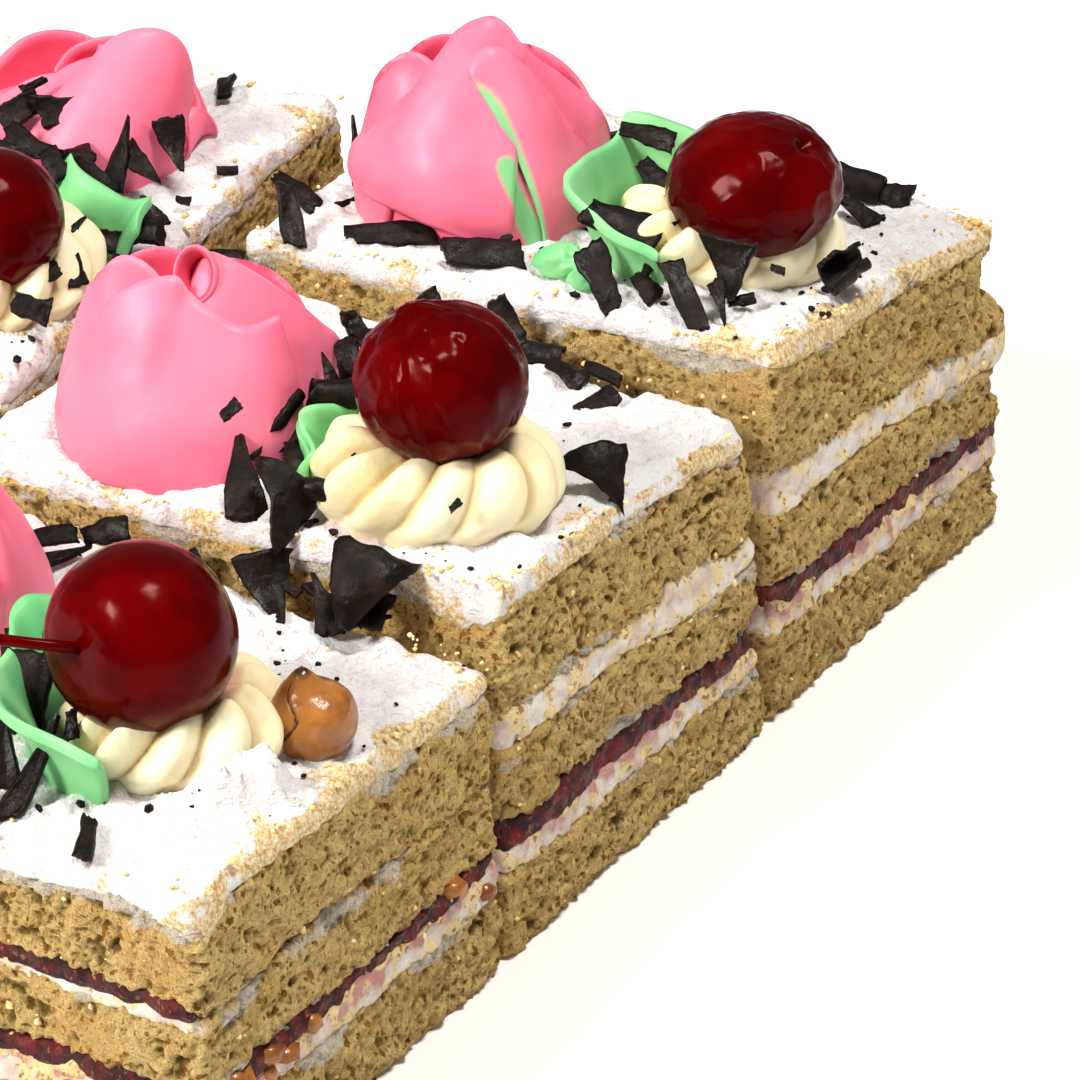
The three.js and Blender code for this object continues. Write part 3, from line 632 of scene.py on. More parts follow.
def slow_wave(s, edge):
    """The plain solid's own slow wave along the wall."""
    return SLOW_WAVE * np.sin(1.1 * edge["number"] + s["seed"])


def drawn_in(s, edge, inset):
    """The outline shrunk towards the slice's middle by a distance measured at the walls."""
    return edge["u"] * (1 - inset / s["half"]), edge["v"] * (1 - inset / HALF_WIDTH)


def pushed(edge, u, v, z, move):
    """Points moved out from the wall, each by its own amount."""
    return points_of(u + edge["nu"] * move, v + edge["nv"] * move, z)


def in_room(edge, move, most):
    """Keep a wall from standing out further than the most, and clear of the next slice."""
    return np.minimum(move, most * edge["free"] - CLEAR)


EDGES = {s["name"]: outline(s) for s in SLICES}
print("points round each slice", {name: len(edge["u"]) for name, edge in EDGES.items()})

# %% [markdown]
# Cut sponge. A knife drags the crumb, so the wall is a field of small bubbles with torn rims, a few
# larger holes, and soft swells. The wall is a grid of number round and height, and each point moves
# out or in by the sum of those. How deep a point lies in a bubble is kept on the mesh for the painted
# shade there, and so is where cream was smeared, where the crumb was toasted and where jam soaked in.

# %% Sponge crumb
SEAM = 0.12
SQUEEZE = 1.7
RIM_INSETS = (0.4, 0.9, 1.5, 2.2, 3.2)
EDGE_INSETS = (1.4, 3.5)


def crumb_relief(points, seed):
    """Height of the crumb in millimetres and how deep it lies: soft swells, torn crests of two
    sizes, where a crest is one less the size of a noise, grains, and a few open holes."""
    warped = points + 0.5 * np.stack([smooth_noise(points, 1.7, seed + k) for k in (41, 42, 43)], 1)
    crests = sum(part * (1 - 2.4 * np.abs(smooth_noise(warped, size, seed + 7 * k)))
                 for k, (size, part) in enumerate([(1.9, 0.36), (1.0, 0.34)]))
    grains = 0.38 * smooth_noise(points, 0.6, seed + 3)
    large, owner = cell_noise(warped, 3.1, seed + 9)
    holes = np.where(owner > 0.72, np.clip(1 - large / 0.36, 0, 1) ** 0.8, 0)
    swell = 0.62 * layered_noise(points, 6.5, seed + 20, 4)
    relief = 0.05 + swell + crests + grains - 0.8 * holes
    # the second value, how deep a point lies in a bubble, sets the painted shade there
    return relief, np.clip(0.35 - 1.2 * crests - 1.3 * grains + 1.1 * holes - 0.25 * swell, 0, 1)


def shut_by(s, edge, name):
    """How far the joint beside a sponge layer is squeezed shut, in millimetres each way."""
    shares = SHUT.get((s["name"], "cream_upper"), NOT_SHUT)
    return SQUEEZE * by_side(edge, shares) * (name != "sponge_bottom")


def slab(s, name, low, high, seed):
    """One sponge layer: the wall between its two limits, a rim that turns in over a few rows at the
    top and bottom, and fans over the hidden middle."""
    edge = EDGES[s["name"]]
    is_top, on_filling = name == "sponge_top", low > 0
    lift = SEAM * on_filling
    shut = shut_by(s, edge, name)
    rows_wall = int((high - low) * LEAN_HEIGHT / WALL_STEP)
    stations = [(inset, 0.0) for inset in EDGE_INSETS[::-1]]
    stations += [(0.0, k / rows_wall) for k in range(rows_wall + 1)]
    stations += [(inset, 1.0) for inset in (RIM_INSETS if is_top else EDGE_INSETS)]
    rings, kept = [], []
    for inset, share in stations:
        u, v = drawn_in(s, edge, inset)
        bottom = limit_height(s, low, u, v) + lift - shut * is_top
        top = limit_height(s, high, u, v) - SEAM + shut * (name == "sponge_middle")
        z = mix(bottom, top, share)
        u, v = leaned(s, u, v, z)
        points = points_of(u, v, z)
        # how deep each point lies in a bubble is kept for the painted shade there
        relief, pit_shade = crumb_relief(points, seed)
        foot = 0.5 * (1 - min(1, share / 0.1)) + 0.35 * (1 - min(1, (1 - share) / 0.08))
        room = 0.35 + 0.65 * edge["free"]
        move = (relief + slow_wave(s, edge) - foot) * room - dents(s, u, v, z)
        move = in_room(edge, move, 1.45)
        if inset:
            z = z + np.clip(relief, -0.5, 0.35) * (1 if is_top else 0.2) * (share == 1.0)
            move = 0.15 * move
        rings.append(pushed(edge, u, v, z, move))
        patch = layered_noise(points * np.array([1, 1, 1.6]), 7.5, seed + 51, 4)
        near_top, near_bottom = np.exp(-(top - z) / 2.4), np.exp(-(z - bottom) / 1.8)
        toast = 0.7 * near_top if is_top else 0.6 * near_top + 0.5 * near_bottom * on_filling
        toast = toast * (0.75 + 1.2 * patch) + 0.55 * (shut > 0.5) * near_bottom
        spread = 0.55 * near_top * is_top * np.clip(-edge["nv"], 0, 1) * (0.6 + patch)
        smear = (near_top + near_bottom * on_filling) * (0.55 + 2.4 * patch) - 0.15 + spread
        soak = near_bottom * (name == "sponge_middle") * (0.7 + patch)
        kept.append(dict(pit_shade=pit_shade, toast=toast, smear=smear, soak=soak))
    rings = np.array(rings)
    if not on_filling:
        rings[:3, :, 2] = 0
    ends = [(0, 0, float(limit_height(s, low, 0.0, 0.0)) + lift),
            (0, 0, float(limit_height(s, high, 0.0, 0.0)) - SEAM)]
    values = {key: np.clip(with_ends([row[key] for row in kept]), 0, 1) for key in kept[0]}
    return add_piece(s, f"{name}_crumb", ring_stack(rings, *ends), sponge, values, [name])


# %% [markdown]
# Cream and jam are pressed out between the layers when the cake is cut, and smeared along the wall
# by the knife. Their band reaches a little past both limits and sinks away there, so that its edge
# is wherever the rough band meets the rough crumb, and no two stretches of it look the same.


# %% Filling bands
BANDS = {  # reach past the limits, bulge, lump height, lump size, all in millimetres
    "cream": dict(reach=1.9, bulge=0.3, lump=1.0, size=2.1),
    "jam": dict(reach=1.1, bulge=0.25, lump=0.6, size=2.2),
}
BAND_ROWS = 15


def filling(s, name, low, high, seed):
    """One filling: rows from below its lower limit to above its upper one, moved out by a bulge with
    lumps and in again with the distance past a limit, more where the joint is squeezed shut."""
    edge = EDGES[s["name"]]
    kind = name.split("_")[0]
    band = BANDS[kind]
    amount = layered_noise(edge["flat"], 12, seed + 60, 3)
    wander = 0.9 * layered_noise(edge["flat"], 8, seed + 40, 4)
    shut = by_side(edge, SHUT.get((s["name"], name), NOT_SHUT))
    reach = band["reach"] * (0.7 + 1.1 * amount) * (1 - shut)
    stations = [(4.0, 0.3), (1.4, 0.1)] + [(0, k / BAND_ROWS) for k in range(BAND_ROWS + 1)]
    rings, stain, bits = [], [], []
    for inset, share in stations + [(1.4, 0.9), (4.0, 0.7)]:
        u, v = drawn_in(s, edge, inset)
        bottom, top = limit_height(s, low, u, v), limit_height(s, high, u, v)
        if inset:
            z = mix(bottom, top, share)
        else:
            z = mix(bottom - reach, top + reach, share) + wander * 0.6
        u, v = leaned(s, u, v, z)
        points = points_of(u, v, z)
        lumps = layered_noise(points, band["size"], seed + 70, 4)
        move = np.full(len(u), -0.3)
        if not inset:
            past = np.maximum(0, np.maximum(bottom - z, z - top))
            move = (band["bulge"] * (1 + 1.4 * amount) + band["lump"] * lumps - 0.62 * past
                    - 1.3 * shut + slow_wave(s, edge)) * (0.4 + 0.6 * edge["free"])
            move = np.minimum(move - dents(s, u, v, z), -1.0 if share in (0.0, 1.0) else np.inf)
            move = in_room(edge, move, 1.6)
        rings.append(pushed(edge, u, v, z, move))
        stain.append((1.5 * share - 0.35 + 0.9 * lumps) * (name == "cream_lower") + 0.12 * lumps)
        speckle = layered_noise(points, 1.6, seed + 75, 4)
        bits.append(0.4 + 1.2 * speckle + 0.65 * (2 * share - 1) ** 2)
    middle = [float(limit_height(s, x, 0.0, 0.0)) for x in (low, high)]
    ends = [(0, 0, mix(*middle, share)) for share in (0.3, 0.7)]
    values = dict(stain=np.clip(with_ends(stain), 0, 1), bits=np.clip(with_ends(bits), 0, 1))
    finish = {"cream": cream, "jam": jam}[kind]
    return add_piece(s, f"{name}_band", ring_stack(np.array(rings), *ends), finish, values, [name])


for s in SLICES:
    low = 0
    for order, (name, kind, high) in enumerate(s["layers"]):
        make = slab if kind == "sponge" else filling
        piece = make(s, name, low, high, s["seed"] + 5 * order)
        low = high
print("layers made", sum(len(s["layers"]) for s in SLICES), "last one has", len(piece.data.polygons), "faces")

# %% [markdown]
# Frosting. It is spread with long strokes that leave ridges, it is thin and torn at the rim, where
# crumbs come through, and it runs down over one corner. One slice has a dab pushed up beside its
# rosette. The surface is a stack of rings that starts under the rim, hangs over the wall by a
# ragged amount, and shrinks towards the middle over the top.

# %% Frosting surface
BARE = {  # u, v and width of spots along the edges where the crumb shows through the frosting
    "slice1": [(36, 12, 5), (36, 0, 4), (35, -12, 5), (28, 27, 5)],
    "slice2": [(-14, -26, 6), (-2, -28, 4), (12, -29, 5), (28, -28, 6), (36, -8, 5), (36, 14, 4)],
    "slice3": [(-30, -28, 5), (-14, -29, 4), (30, -28, 7), (36, -12, 6), (36, 10, 5), (35, 26, 5)],
    "slice4": [(-34, 27, 6), (20, 28, 5), (-40, 0, 5)],
}
HANG = {  # u, v, width and length of the frosting that ran over
    "slice1": (37, -28.5, 4.4, 4.4), "slice2": (32, -28.5, 6.0, 4.6),
}
FROSTING_GAP = 0.1
FROSTING_RIM = [  # how far out, how far down in hangs, and how far up in shares of the height
    (-3.0, 0, 0.2), (-0.9, 0, 0.0), (-0.9, -1.0, 0), (-0.3, -0.8, 0), (-0.05, -0.5, 0),
    (0.05, -0.2, 0), (0.1, 0, 0.15), (0.05, 0, 0.4), (-0.15, 0, 0.62), (-0.5, 0, 0.8),
]


def frosting_relief(s, u, v):
    """Height over the plain top: the plain solid's low waves, long ridges along the strokes, sharp
    little crests and small lumps."""
    waves = open_share(s, u, v) * (0.45 * np.sin(u / 4.3 + 1.4 * np.sin(v / 6 + s["seed"]))
                                   + 0.3 * np.sin(v / 3.6 + u / 11 + s["seed"]))
    flat = points_of(u, v)
    c, n = math.cos(0.4 * s["seed"]), math.sin(0.4 * s["seed"])
    along = points_of(0.2 * (u * c + v * n), v * c - u * n, s["seed"])
    strokes = layered_noise(along, 1.5, s["seed"] + 80, 3)
    lumps = layered_noise(flat, 4.2, s["seed"] + 90, 5)
    crests = 1 - 2.4 * np.abs(layered_noise(flat, 3.4, s["seed"] + 95, 4))
    relief = 0.8 * waves + 0.65 * strokes + 0.7 * lumps + 0.6 * crests
    if s["name"] == "slice1":
        along, across = 0.75 * (u - 28) + 0.66 * (v + 9.6), 0.75 * (v + 9.6) - 0.66 * (u - 28)
        dab = ease(1.25 - np.hypot(along / 5.6, across / 3.2) + 0.35 * lumps, 0, 0.6)
        dab = dab * ease(beyond(s["rosette"], u, v), -0.5, 0.8)
        relief = relief + 3.6 * dab * (1 + 0.35 * lumps + 0.35 * crests)
    return relief


def bare_share(s, u, v, z):
    """How much crumb shows: most at the edges, in the listed spots, and in torn patches."""
    gaps = np.stack([v + HALF_WIDTH, s["half"] - u, HALF_WIDTH - v, u + s["half"]])
    wide = np.array([1.3, 2.6, 1.2, 1.2])[:, None]
    near = np.exp(-np.maximum(gaps, 0) / wide).max(0)
    spots = sum(np.exp(-((u - a) ** 2 + (v - b) ** 2) / w ** 2) for a, b, w in BARE[s["name"]])
    torn = layered_noise(points_of(u, v, z), 3.2, s["seed"] + 309, 4)
    return np.clip(0.85 * near + 0.75 * spots + 1.0 * torn - 0.3, 0, 1)


def frosting_skin(s):
    """Rings from the underside round the rim and over the top, each point with its own height. The
    rings over the top lie closer together near the rim, where the crumb shows."""
    edge = EDGES[s["name"]]
    share = s["layers"][-1][2]
    seed = s["seed"] + 300
    ragged = 0.75 * layered_noise(edge["flat"], 6.5, seed, 4)
    hang = 0.5 + 1.1 * layered_noise(edge["flat"], 9, seed + 3, 4)
    if s["name"] in HANG:
        hu, hv, wide, far = HANG[s["name"]]
        run = np.exp(-((edge["u"] - hu) ** 2 + (edge["v"] - hv) ** 2) / wide ** 2)
        hang = hang + far * run * (1 + 0.5 * layered_noise(edge["flat"], 2.4, seed + 6, 2))
        ragged = ragged + 0.6 * run
    hang = np.maximum(hang, 0.2)
    crumby = by_side(edge, (0.2, 0.62, 0.4, 0.4))
    limit = limit_height(s, share, edge["u"], edge["v"]) + FROSTING_GAP
    full = top_height(s, edge["u"], edge["v"]) - limit
    rings, thin, stain = [], [], []
    for out, down, up in FROSTING_RIM:
        z = limit + down * hang + up * full
        u, v = leaned(s, edge["u"], edge["v"], z)
        rough = layered_noise(points_of(u, v, z), 2.2, seed + 8, 4)
        move = out + (ragged + 0.8 * rough) * (out >= -0.5) + slow_wave(s, edge) - dents(s, u, v, z)
        move = in_room(edge, move, 1.5)
        rings.append(pushed(edge, u, v, z, move))
        thin.append(np.clip(0.7 * bare_share(s, u, v, z) + crumby * (0.75 + 1.3 * rough), 0, 1))
        stain.append(0 * u)
    start = rings[-1]
    inward = np.concatenate([np.arange(0.4, 9, 0.42), np.arange(9.2, HALF_WIDTH - 0.5, 0.6)])
    for depth in inward:
        u, v = start[:, 0] * (1 - depth / HALF_WIDTH), start[:, 1] * (1 - depth / HALF_WIDTH)
        bare = bare_share(s, u, v, 0)
        low = limit_height(s, share, u, v) + FROSTING_GAP
        near = math.exp(-depth / 1.6)
        grainy, _ = crumb_relief(points_of(u, v), seed + 30)
        above = top_height(s, u, v) + frosting_relief(s, u, v) - low
        above = above * (1 - 0.16 * near) - 0.75 * bare + 0.5 * grainy * bare
        rings.append(points_of(u, v, np.maximum(low + above, low + 0.3)))
        thin.append(bare)
        around = np.maximum(beyond(s["rosette"], u, v), 0)
        cloudy = layered_noise(points_of(u, v), 3.5, seed + 11, 2)
        stain.append(np.clip(np.exp(-around / 3.0) * (0.45 + cloudy), 0, 1))
    shape = ring_stack(np.array(rings), (0, 0, float(limit.mean())), rings[-1].mean(0))
    values = dict(thin=with_ends(thin), stain=with_ends(stain))
    return add_piece(s, "frosting_skin", shape, frosting, values, ["frosting"])


for s in SLICES:
    skin = frosting_skin(s)
    print(skin.name, len(skin.data.polygons), "faces")

# %% [markdown]
# Smooth profiles. Piped shapes are described by a few rows of numbers. A curve through those rows,
# with the same pull on both sides of each, turns them into a fine profile.

# %% Curve through rows
def through(rows, count):
    """Curve through rows of numbers: each stretch blends its two end rows with slopes taken from the
    rows on either side."""
    rows = np.asarray(rows, float)
    padded = np.concatenate([[2 * rows[0] - rows[1]], rows, [2 * rows[-1] - rows[-2]]])
    t = np.linspace(0, len(rows) - 1 - 1e-9, count)
    k = t.astype(int)
    f = (t - k)[:, None]
    p0, p1, p2, p3 = padded[k], padded[k + 1], padded[k + 2], padded[k + 3]
    return 0.5 * (2 * p1 + (p2 - p0) * f + (2 * p0 - 5 * p1 + 4 * p2 - p3) * f ** 2
                  + (3 * p1 - p0 - 3 * p2 + p3) * f ** 3)


# %% [markdown]
# The rose is piped as a few broad petals that lean in round a heart and overlap. Each rose has its
# own front, the way its best side faces, and its rows are measured from there: how far to the right
# of the rose's axis, how far to the front, and how high over the frosting. A petal is a closed sheet
# that rises from the rose's foot, bellies out and leans in to its lip. A row gives the direction of
# its foot in degrees, with 0 to the right and 90 to the front, the height of the foot, and a point
# of the lip. The sheet is thick at the foot, so that petals close up, and thin and round at the lip.


# %% Petals of the four roses
PETAL_GRID = (84, 30)  # points round and up
ROLL_GRID = (80, 26)
GREEN_STREAK = [(3.6, 11.8, 10.4), (4.8, 12.6, 6), (6.4, 12.8, 2.4), (7.4, 12.6, 0)]  # right, front, high
GREEN_FADES = (62, 67)  # heights between which the green ends
BACK_LEFT = [(-66, 0, 4.4, -7.2, 13.6), (-86, 0, 0.8, -9.2, 16.4), (-104, 0, -3, -9.8, 17.6),
             (-122, 0, -6.6, -9, 17), (-139, 0, -9.6, -7.4, 14.2), (-153, 0, -12, -5.4, 10.2),
             (-166, 0, -13.3, -3.4, 5)]
BACK_RIGHT = [(0, 0, 15.6, -2.6, 5), (-14, 0, 14, -4.6, 9.6), (-31, 0, 11.6, -7, 13.4),
              (-50, 0, 7.8, -8.8, 15.8), (-70, 0, 3.2, -9, 16.6), (-88, 0, -0.8, -7.4, 15.2),
              (-103, 0, -3, -5, 12)]


def lowered(rows, share):
    """The same petal with its lip at a share of its height."""
    return [row[:4] + (share * row[4],) for row in rows]


LOBED = dict(heart=16, petals=[
    BACK_LEFT,
    BACK_RIGHT,
    [(-20, 0, 16, -3.4, 2), (-10, 0, 16.8, -2.4, 6), (2, 0, 16.6, -1.6, 10.4), (14, 0, 14.6, -1.2, 12.6),
     (28, 0, 12.3, -1, 15), (44, 0, 9.4, -0.8, 17.7), (58, 0, 6.5, -0.6, 19.9), (72, 0, 4.3, -0.6, 21.2),
     (86, 0, 2.6, -0.8, 21.6), (100, 0, 1.4, -1.4, 20)],
    [(218, 0, -13, -2, 5.5), (208, 0, -11.4, -1.6, 12), (198, 0, -10.3, -1.7, 16.4),
     (189, 0, -9.4, -1.9, 19), (180, 0, -8, -2, 20.4), (169, 0, -6.5, -2, 20.8), (156, 0, -4.6, -1.8, 20),
     (142, 0, -2.8, -1.2, 18.2), (128, 0, -1.2, 0, 16)],
    [(203, 0, -12.4, -1, 7), (194, 0, -11, 0.8, 11.4), (184, 0, -9.6, 2, 14), (173, 0, -8.2, 2.8, 17),
     (162, 0, -6.6, 3.2, 19), (149, 0, -4.6, 3.4, 20.3), (135, 0, -2.3, 3.5, 20.9),
     (121, 0, -0.6, 3.5, 20.8), (108, 0, 0.5, 3.8, 19.3), (97, 0, 1.8, 4.4, 18.2), (85, 0, 3.3, 4.9, 17.2),
     (73, 0, 5, 5.4, 16.1), (61, 0, 6.6, 5.7, 15.7), (49, 0, 8.1, 5.8, 16.1), (38, 0, 9.4, 5.5, 16.6),
     (29, 0, 10.4, 5, 16.8)],
])
ROSES = {
    "slice1": dict(front=100, **LOBED),
    "slice2": dict(front=302, **LOBED),
    "slice3": dict(front=302, heart=18.5, petals=[
        BACK_LEFT,
        BACK_RIGHT,
        [(-22, 0, 15.2, -3.4, 4), (-8, 0, 15.7, -1.6, 9), (6, 0, 14.3, -1, 12.3), (20, 0, 12, -1, 14.6),
         (34, 0, 9.8, -1, 16.6), (48, 0, 8, -1, 17.8), (60, 0, 6.2, -0.8, 19.4), (76, 0, 4.4, -0.4, 21.6),
         (92, 0, 2.6, 0, 22.8)],
        [(218, 0, -12.6, -2, 4.5), (209, 0, -12, -1.6, 10.4), (201, 0, -11.6, -1.6, 14.2),
         (192, 0, -10.5, -1.8, 17.6), (182, 0, -8.6, -1.9, 19), (170, 0, -6.6, -1.7, 18.9),
         (154, 0, -4.7, -1.2, 17.6), (138, 0, -2.6, 0, 15.6)],
        [(200, 4.4, -13, -1.6, 8), (192, 3.6, -11.4, -0.4, 10.8), (182, 3.2, -9.6, 1, 12.9),
         (172, 3.4, -7.7, 1.6, 15.2), (161, 3.8, -5.5, 1.4, 17.2), (151, 4.2, -3.6, 1, 20.2),
         (141, 4.4, -1.4, 0.5, 23.3), (130, 4.2, 0.6, 0.2, 24.2), (118, 3.8, 2.5, 0.2, 24.3),
         (105, 3.2, 4.3, 0.5, 22.8), (90, 2, 5.6, 1.2, 20.6), (74, 1, 5.6, 2, 18.4)],
        [(58, 0, -1.1, 5.2, 19.4), (57, 0, -0.4, 4.4, 21), (55, 0, 1.4, 3.6, 22.1),
         (50, 0, 3.2, 3.2, 21.6), (43, 0, 4.8, 3, 20.1), (36, 0, 6.2, 3, 18.6), (29, 0, 8, 3.4, 16.2),
         (22, 0, 9.8, 4, 13.8), (15, 0, 11.8, 4.2, 11.4), (8, 0, 13, 4, 9.4)],
    ]),
    "slice4": dict(front=27.5, heart=9.6, petals=[
        lowered(BACK_LEFT, 0.62),
        lowered(BACK_RIGHT, 0.62),
        [(16, 0, 12.6, -1.2, 4.4), (6, 0, 14.8, -1.2, 4.3), (-3, 0, 16.3, -1.4, 2.6),
         (-11, 0, 16.8, -2, 0.6)],
        [(205, 0, -12.6, -2, 3), (193, 0, -9.8, -0.5, 6.6), (178, 0, -6, -0.5, 8.5),
         (163, 0, -3.4, -0.4, 9.5), (151, 0, -1.4, 0.2, 10)],
        [(168, 0, -1.9, -1.2, 8.6), (158, 0, -0.9, -0.8, 10), (146, 0, 0.6, -0.4, 11),
         (130, 0, 2.6, 0, 12), (116, 0, 4.4, 0.6, 12.4)],
        [(128, 0, 1.4, 3, 11.6), (112, 0, 2.9, 3, 13.6), (97, 0, 5, 2.9, 15.9), (82, 0, 8, 2.6, 16.8),
         (68, 0, 10.4, 2.3, 16.6), (56, 0, 12.4, 2, 15.3), (46, 0, 13.6, 1.7, 13), (38, 0, 14, 1.6, 10),
         (31, 0, 13.6, 2, 6)],
    ]),
}


def ground(s, u, v):
    """Height of the plain top at one place."""
    return float(top_height(s, u, v))


def in_rose(s, right, front, high):
    """Place of a point given to the right and front of the rose's axis and over the frosting."""
    r, facing = s["rose"], math.radians(ROSES[s["name"]]["front"])
    u = r["u"] + front * math.cos(facing) - right * math.sin(facing)
    v = r["v"] + front * math.sin(facing) + right * math.cos(facing)
    return points_of(u, v, ground(s, r["u"], r["v"]) + SEAT + high)


def petal(s, rows, order):
    """Closed sheet: a curve of four pulls for every direction, from the foot out over the belly and
    in to the lip, then moved half the petal's thickness to each side along its own outward way."""
    around, up = PETAL_GRID
    table = through(rows if rows[0][0] > rows[-1][0] else rows[::-1], around)
    foot_way, foot_high, right, front, high = (table[:, k][:, None] for k in range(5))
    t = np.linspace(0, 1, up)[None, :]
    reach = s["rose"]["radius"] * (0.93 + 0.012 * order)
    foot_at = reach * np.cos(np.radians(foot_way)), reach * np.sin(np.radians(foot_way))
    p0, p1, p2, p3 = (1 - t) ** 3, 3 * t * (1 - t) ** 2, 3 * t ** 2 * (1 - t), t ** 3
    belly = 1.13 + 0.1 * (foot_high > 0.5)
    x, y = (a * p0 + belly * a * p1 + 1.03 * mix(a, b, 0.5) * p2 + b * p3
            for a, b in zip(foot_at, (right, front)))
    z = foot_high * p0 + mix(foot_high, high, 0.2) * p1 + mix(foot_high, high, 0.75) * p2 + high * p3
    middle = in_rose(s, x, y, z)
    swell = 0.35 * over_grid(middle, 7, s["seed"] + 400 + order, 2)
    out = np.cross(np.gradient(middle, axis=0), np.gradient(middle, axis=1))
    out /= np.linalg.norm(out, axis=2)[..., None] + 1e-9
    out *= np.sign((out * (middle - in_rose(s, 0.0, 0.0, 4.0))).sum())
    side = np.abs(2 * np.linspace(0, 1, around)[:, None] - 1)
    rim = closing(t, 0.93, 0.07) * closing(side, 0.95, 0.05)
    lip = 0.2 * bell(1 - t, 0.06)
    core = 3.2 * (1 - t) ** 1.5 * (foot_high < 0.5) + 0.3
    inner = (0.5 + core * (1 - t ** 6)) * rim - swell * (t > 0.5) - lip
    upper = middle + out * (0.5 * rim + swell + lip)[..., None]
    lower = middle - out * inner[..., None]
    standing = foot_high + 0 * t < 0.5
    for face in (upper, lower):
        low = top_height(s, face[..., 0], face[..., 1]) - 0.6
        face[..., 2] = np.where(standing, mix(low, face[..., 2], ease(t, 0, 0.12)), face[..., 2])
    # the inner face gets 0.55 of the painted fold shade, the outer face none
    return sheet(upper, lower), np.repeat([0.0, 0.55], around * up)


def heart(s):
    """Rounded cone inside the petals that closes the middle of the rose, with a plump foot."""
    r = s["rose"]
    profile = through([(0.9, 0), (0.95, 0.1), (0.86, 0.3), (0.66, 0.58), (0.4, 0.84), (0.12, 0.98)], 30)
    share, rise = profile[:, 0][:, None], profile[:, 1][:, None]
    u, v = beside(r, r["radius"] * share, full_turn(60))
    low = ground(s, r["u"], r["v"])
    rings = points_of(u, v, low + ROSES[s["name"]]["heart"] * rise)
    rings[0, :, 2] = top_height(s, u[0], v[0]) - 0.6
    shape = ring_stack(rings, (r["u"], r["v"], low - 0.3), rings[-1].mean(0))
    # the hidden heart gets a middle share of the painted fold shade
    return shape, np.full(len(shape[0]), 0.35)


def roll(s):
    """Rolled tip: a sheet wound nearly once round an axis that looks forward and up, narrow at the
    back and open at the front, an oval taller than it is wide."""
    around, up = ROLL_GRID
    t = np.linspace(0, 1, up)[None, :]
    a = np.linspace(0, 1, around)[:, None]
    angle = np.radians(335 * a - 103)
    both = []
    for side in (0.42, -0.42):
        rim = side * closing(t, 0.9, 0.1)
        wide, tall = mix(1.0, 2.25, t ** 0.8) + rim, mix(1.4, 3.1, t ** 0.8) + rim
        right = 1.3 + wide * np.cos(angle) + 2.0 * (1 - t) - 0.4 * (1 - a)
        lift = tall * np.sin(angle)
        front = 2.8 - 6 * (1 - t) - 0.55 * lift
        both.append(in_rose(s, right, front, 20.7 + 0.83 * lift - 4.4 * (1 - t)))
    # the roll's inner face gets 0.75 of the painted fold shade
    return sheet(*both), np.repeat([0.0, 0.75], around * up)


def near_curve(s, points, rows, width):
    """Share that falls from 1 on a curve to 0 at the given distance from it."""
    curve = in_rose(s, *through(rows, 60).T)
    gap = np.min(np.linalg.norm(points[:, None, :] - curve[None], axis=2), axis=1)
    return np.clip(1.6 * (1 - gap / width), 0, 1)


def rose(s):
    """Heart, petals and, on two of the roses, a rolled tip. One rose is stained green by the leaf's
    cream along the first edge of its last petal and along a streak."""
    parts = [heart(s)] + [petal(s, rows, order) for order, rows in enumerate(ROSES[s["name"]]["petals"])]
    if s["name"] in ("slice1", "slice2"):
        parts.append(roll(s))
    points, faces = join([shape for shape, _ in parts])
    green = np.zeros(len(points))
    if s["name"] == "slice3":
        around, up = PETAL_GRID
        way = np.tile(np.repeat(np.linspace(0, 1, around), up), 2)
        low = 1 - ease(points[-len(way):, 2], *GREEN_FADES)
        green[-len(way):] = np.clip(1.4 - way / 0.15, 0, 1) * low
        green = np.maximum(green, near_curve(s, points, GREEN_STREAK, 1.9))
    # fold: painted shade on the inner faces, the heart and the roll
    values = dict(fold=np.concatenate([fold for _, fold in parts]), green=green)
    return add_piece(s, "rose_cream", (points, faces), rose_finish, values, ["rose"])


for s in SLICES:
    piece = rose(s)
print(piece.name, len(piece.data.polygons), "faces")

# %% [markdown]
# The rosette comes from a star nozzle that runs once round: folds that slant strongly because the
# bag was turned, each rising gently and then dropping into a sharp groove, and a hollow where the
# cherry sits. The ring is a little fuller where the run began, and its tail overlaps the start.

# %% Piped rosettes
ROSETTE_ROWS = [(0.9, 0, 0.03), (1.0, 0.14, 0.05), (1.01, 0.36, 0.07), (0.95, 0.66, 0.085),
                (0.8, 0.92, 0.09), (0.6, 1, 0.08), (0.42, 0.84, 0.05), (0.2, 0.55, 0.02)]
ROSETTE_GRID = (52, 288)
RIDGES = 12
SLANT = -9


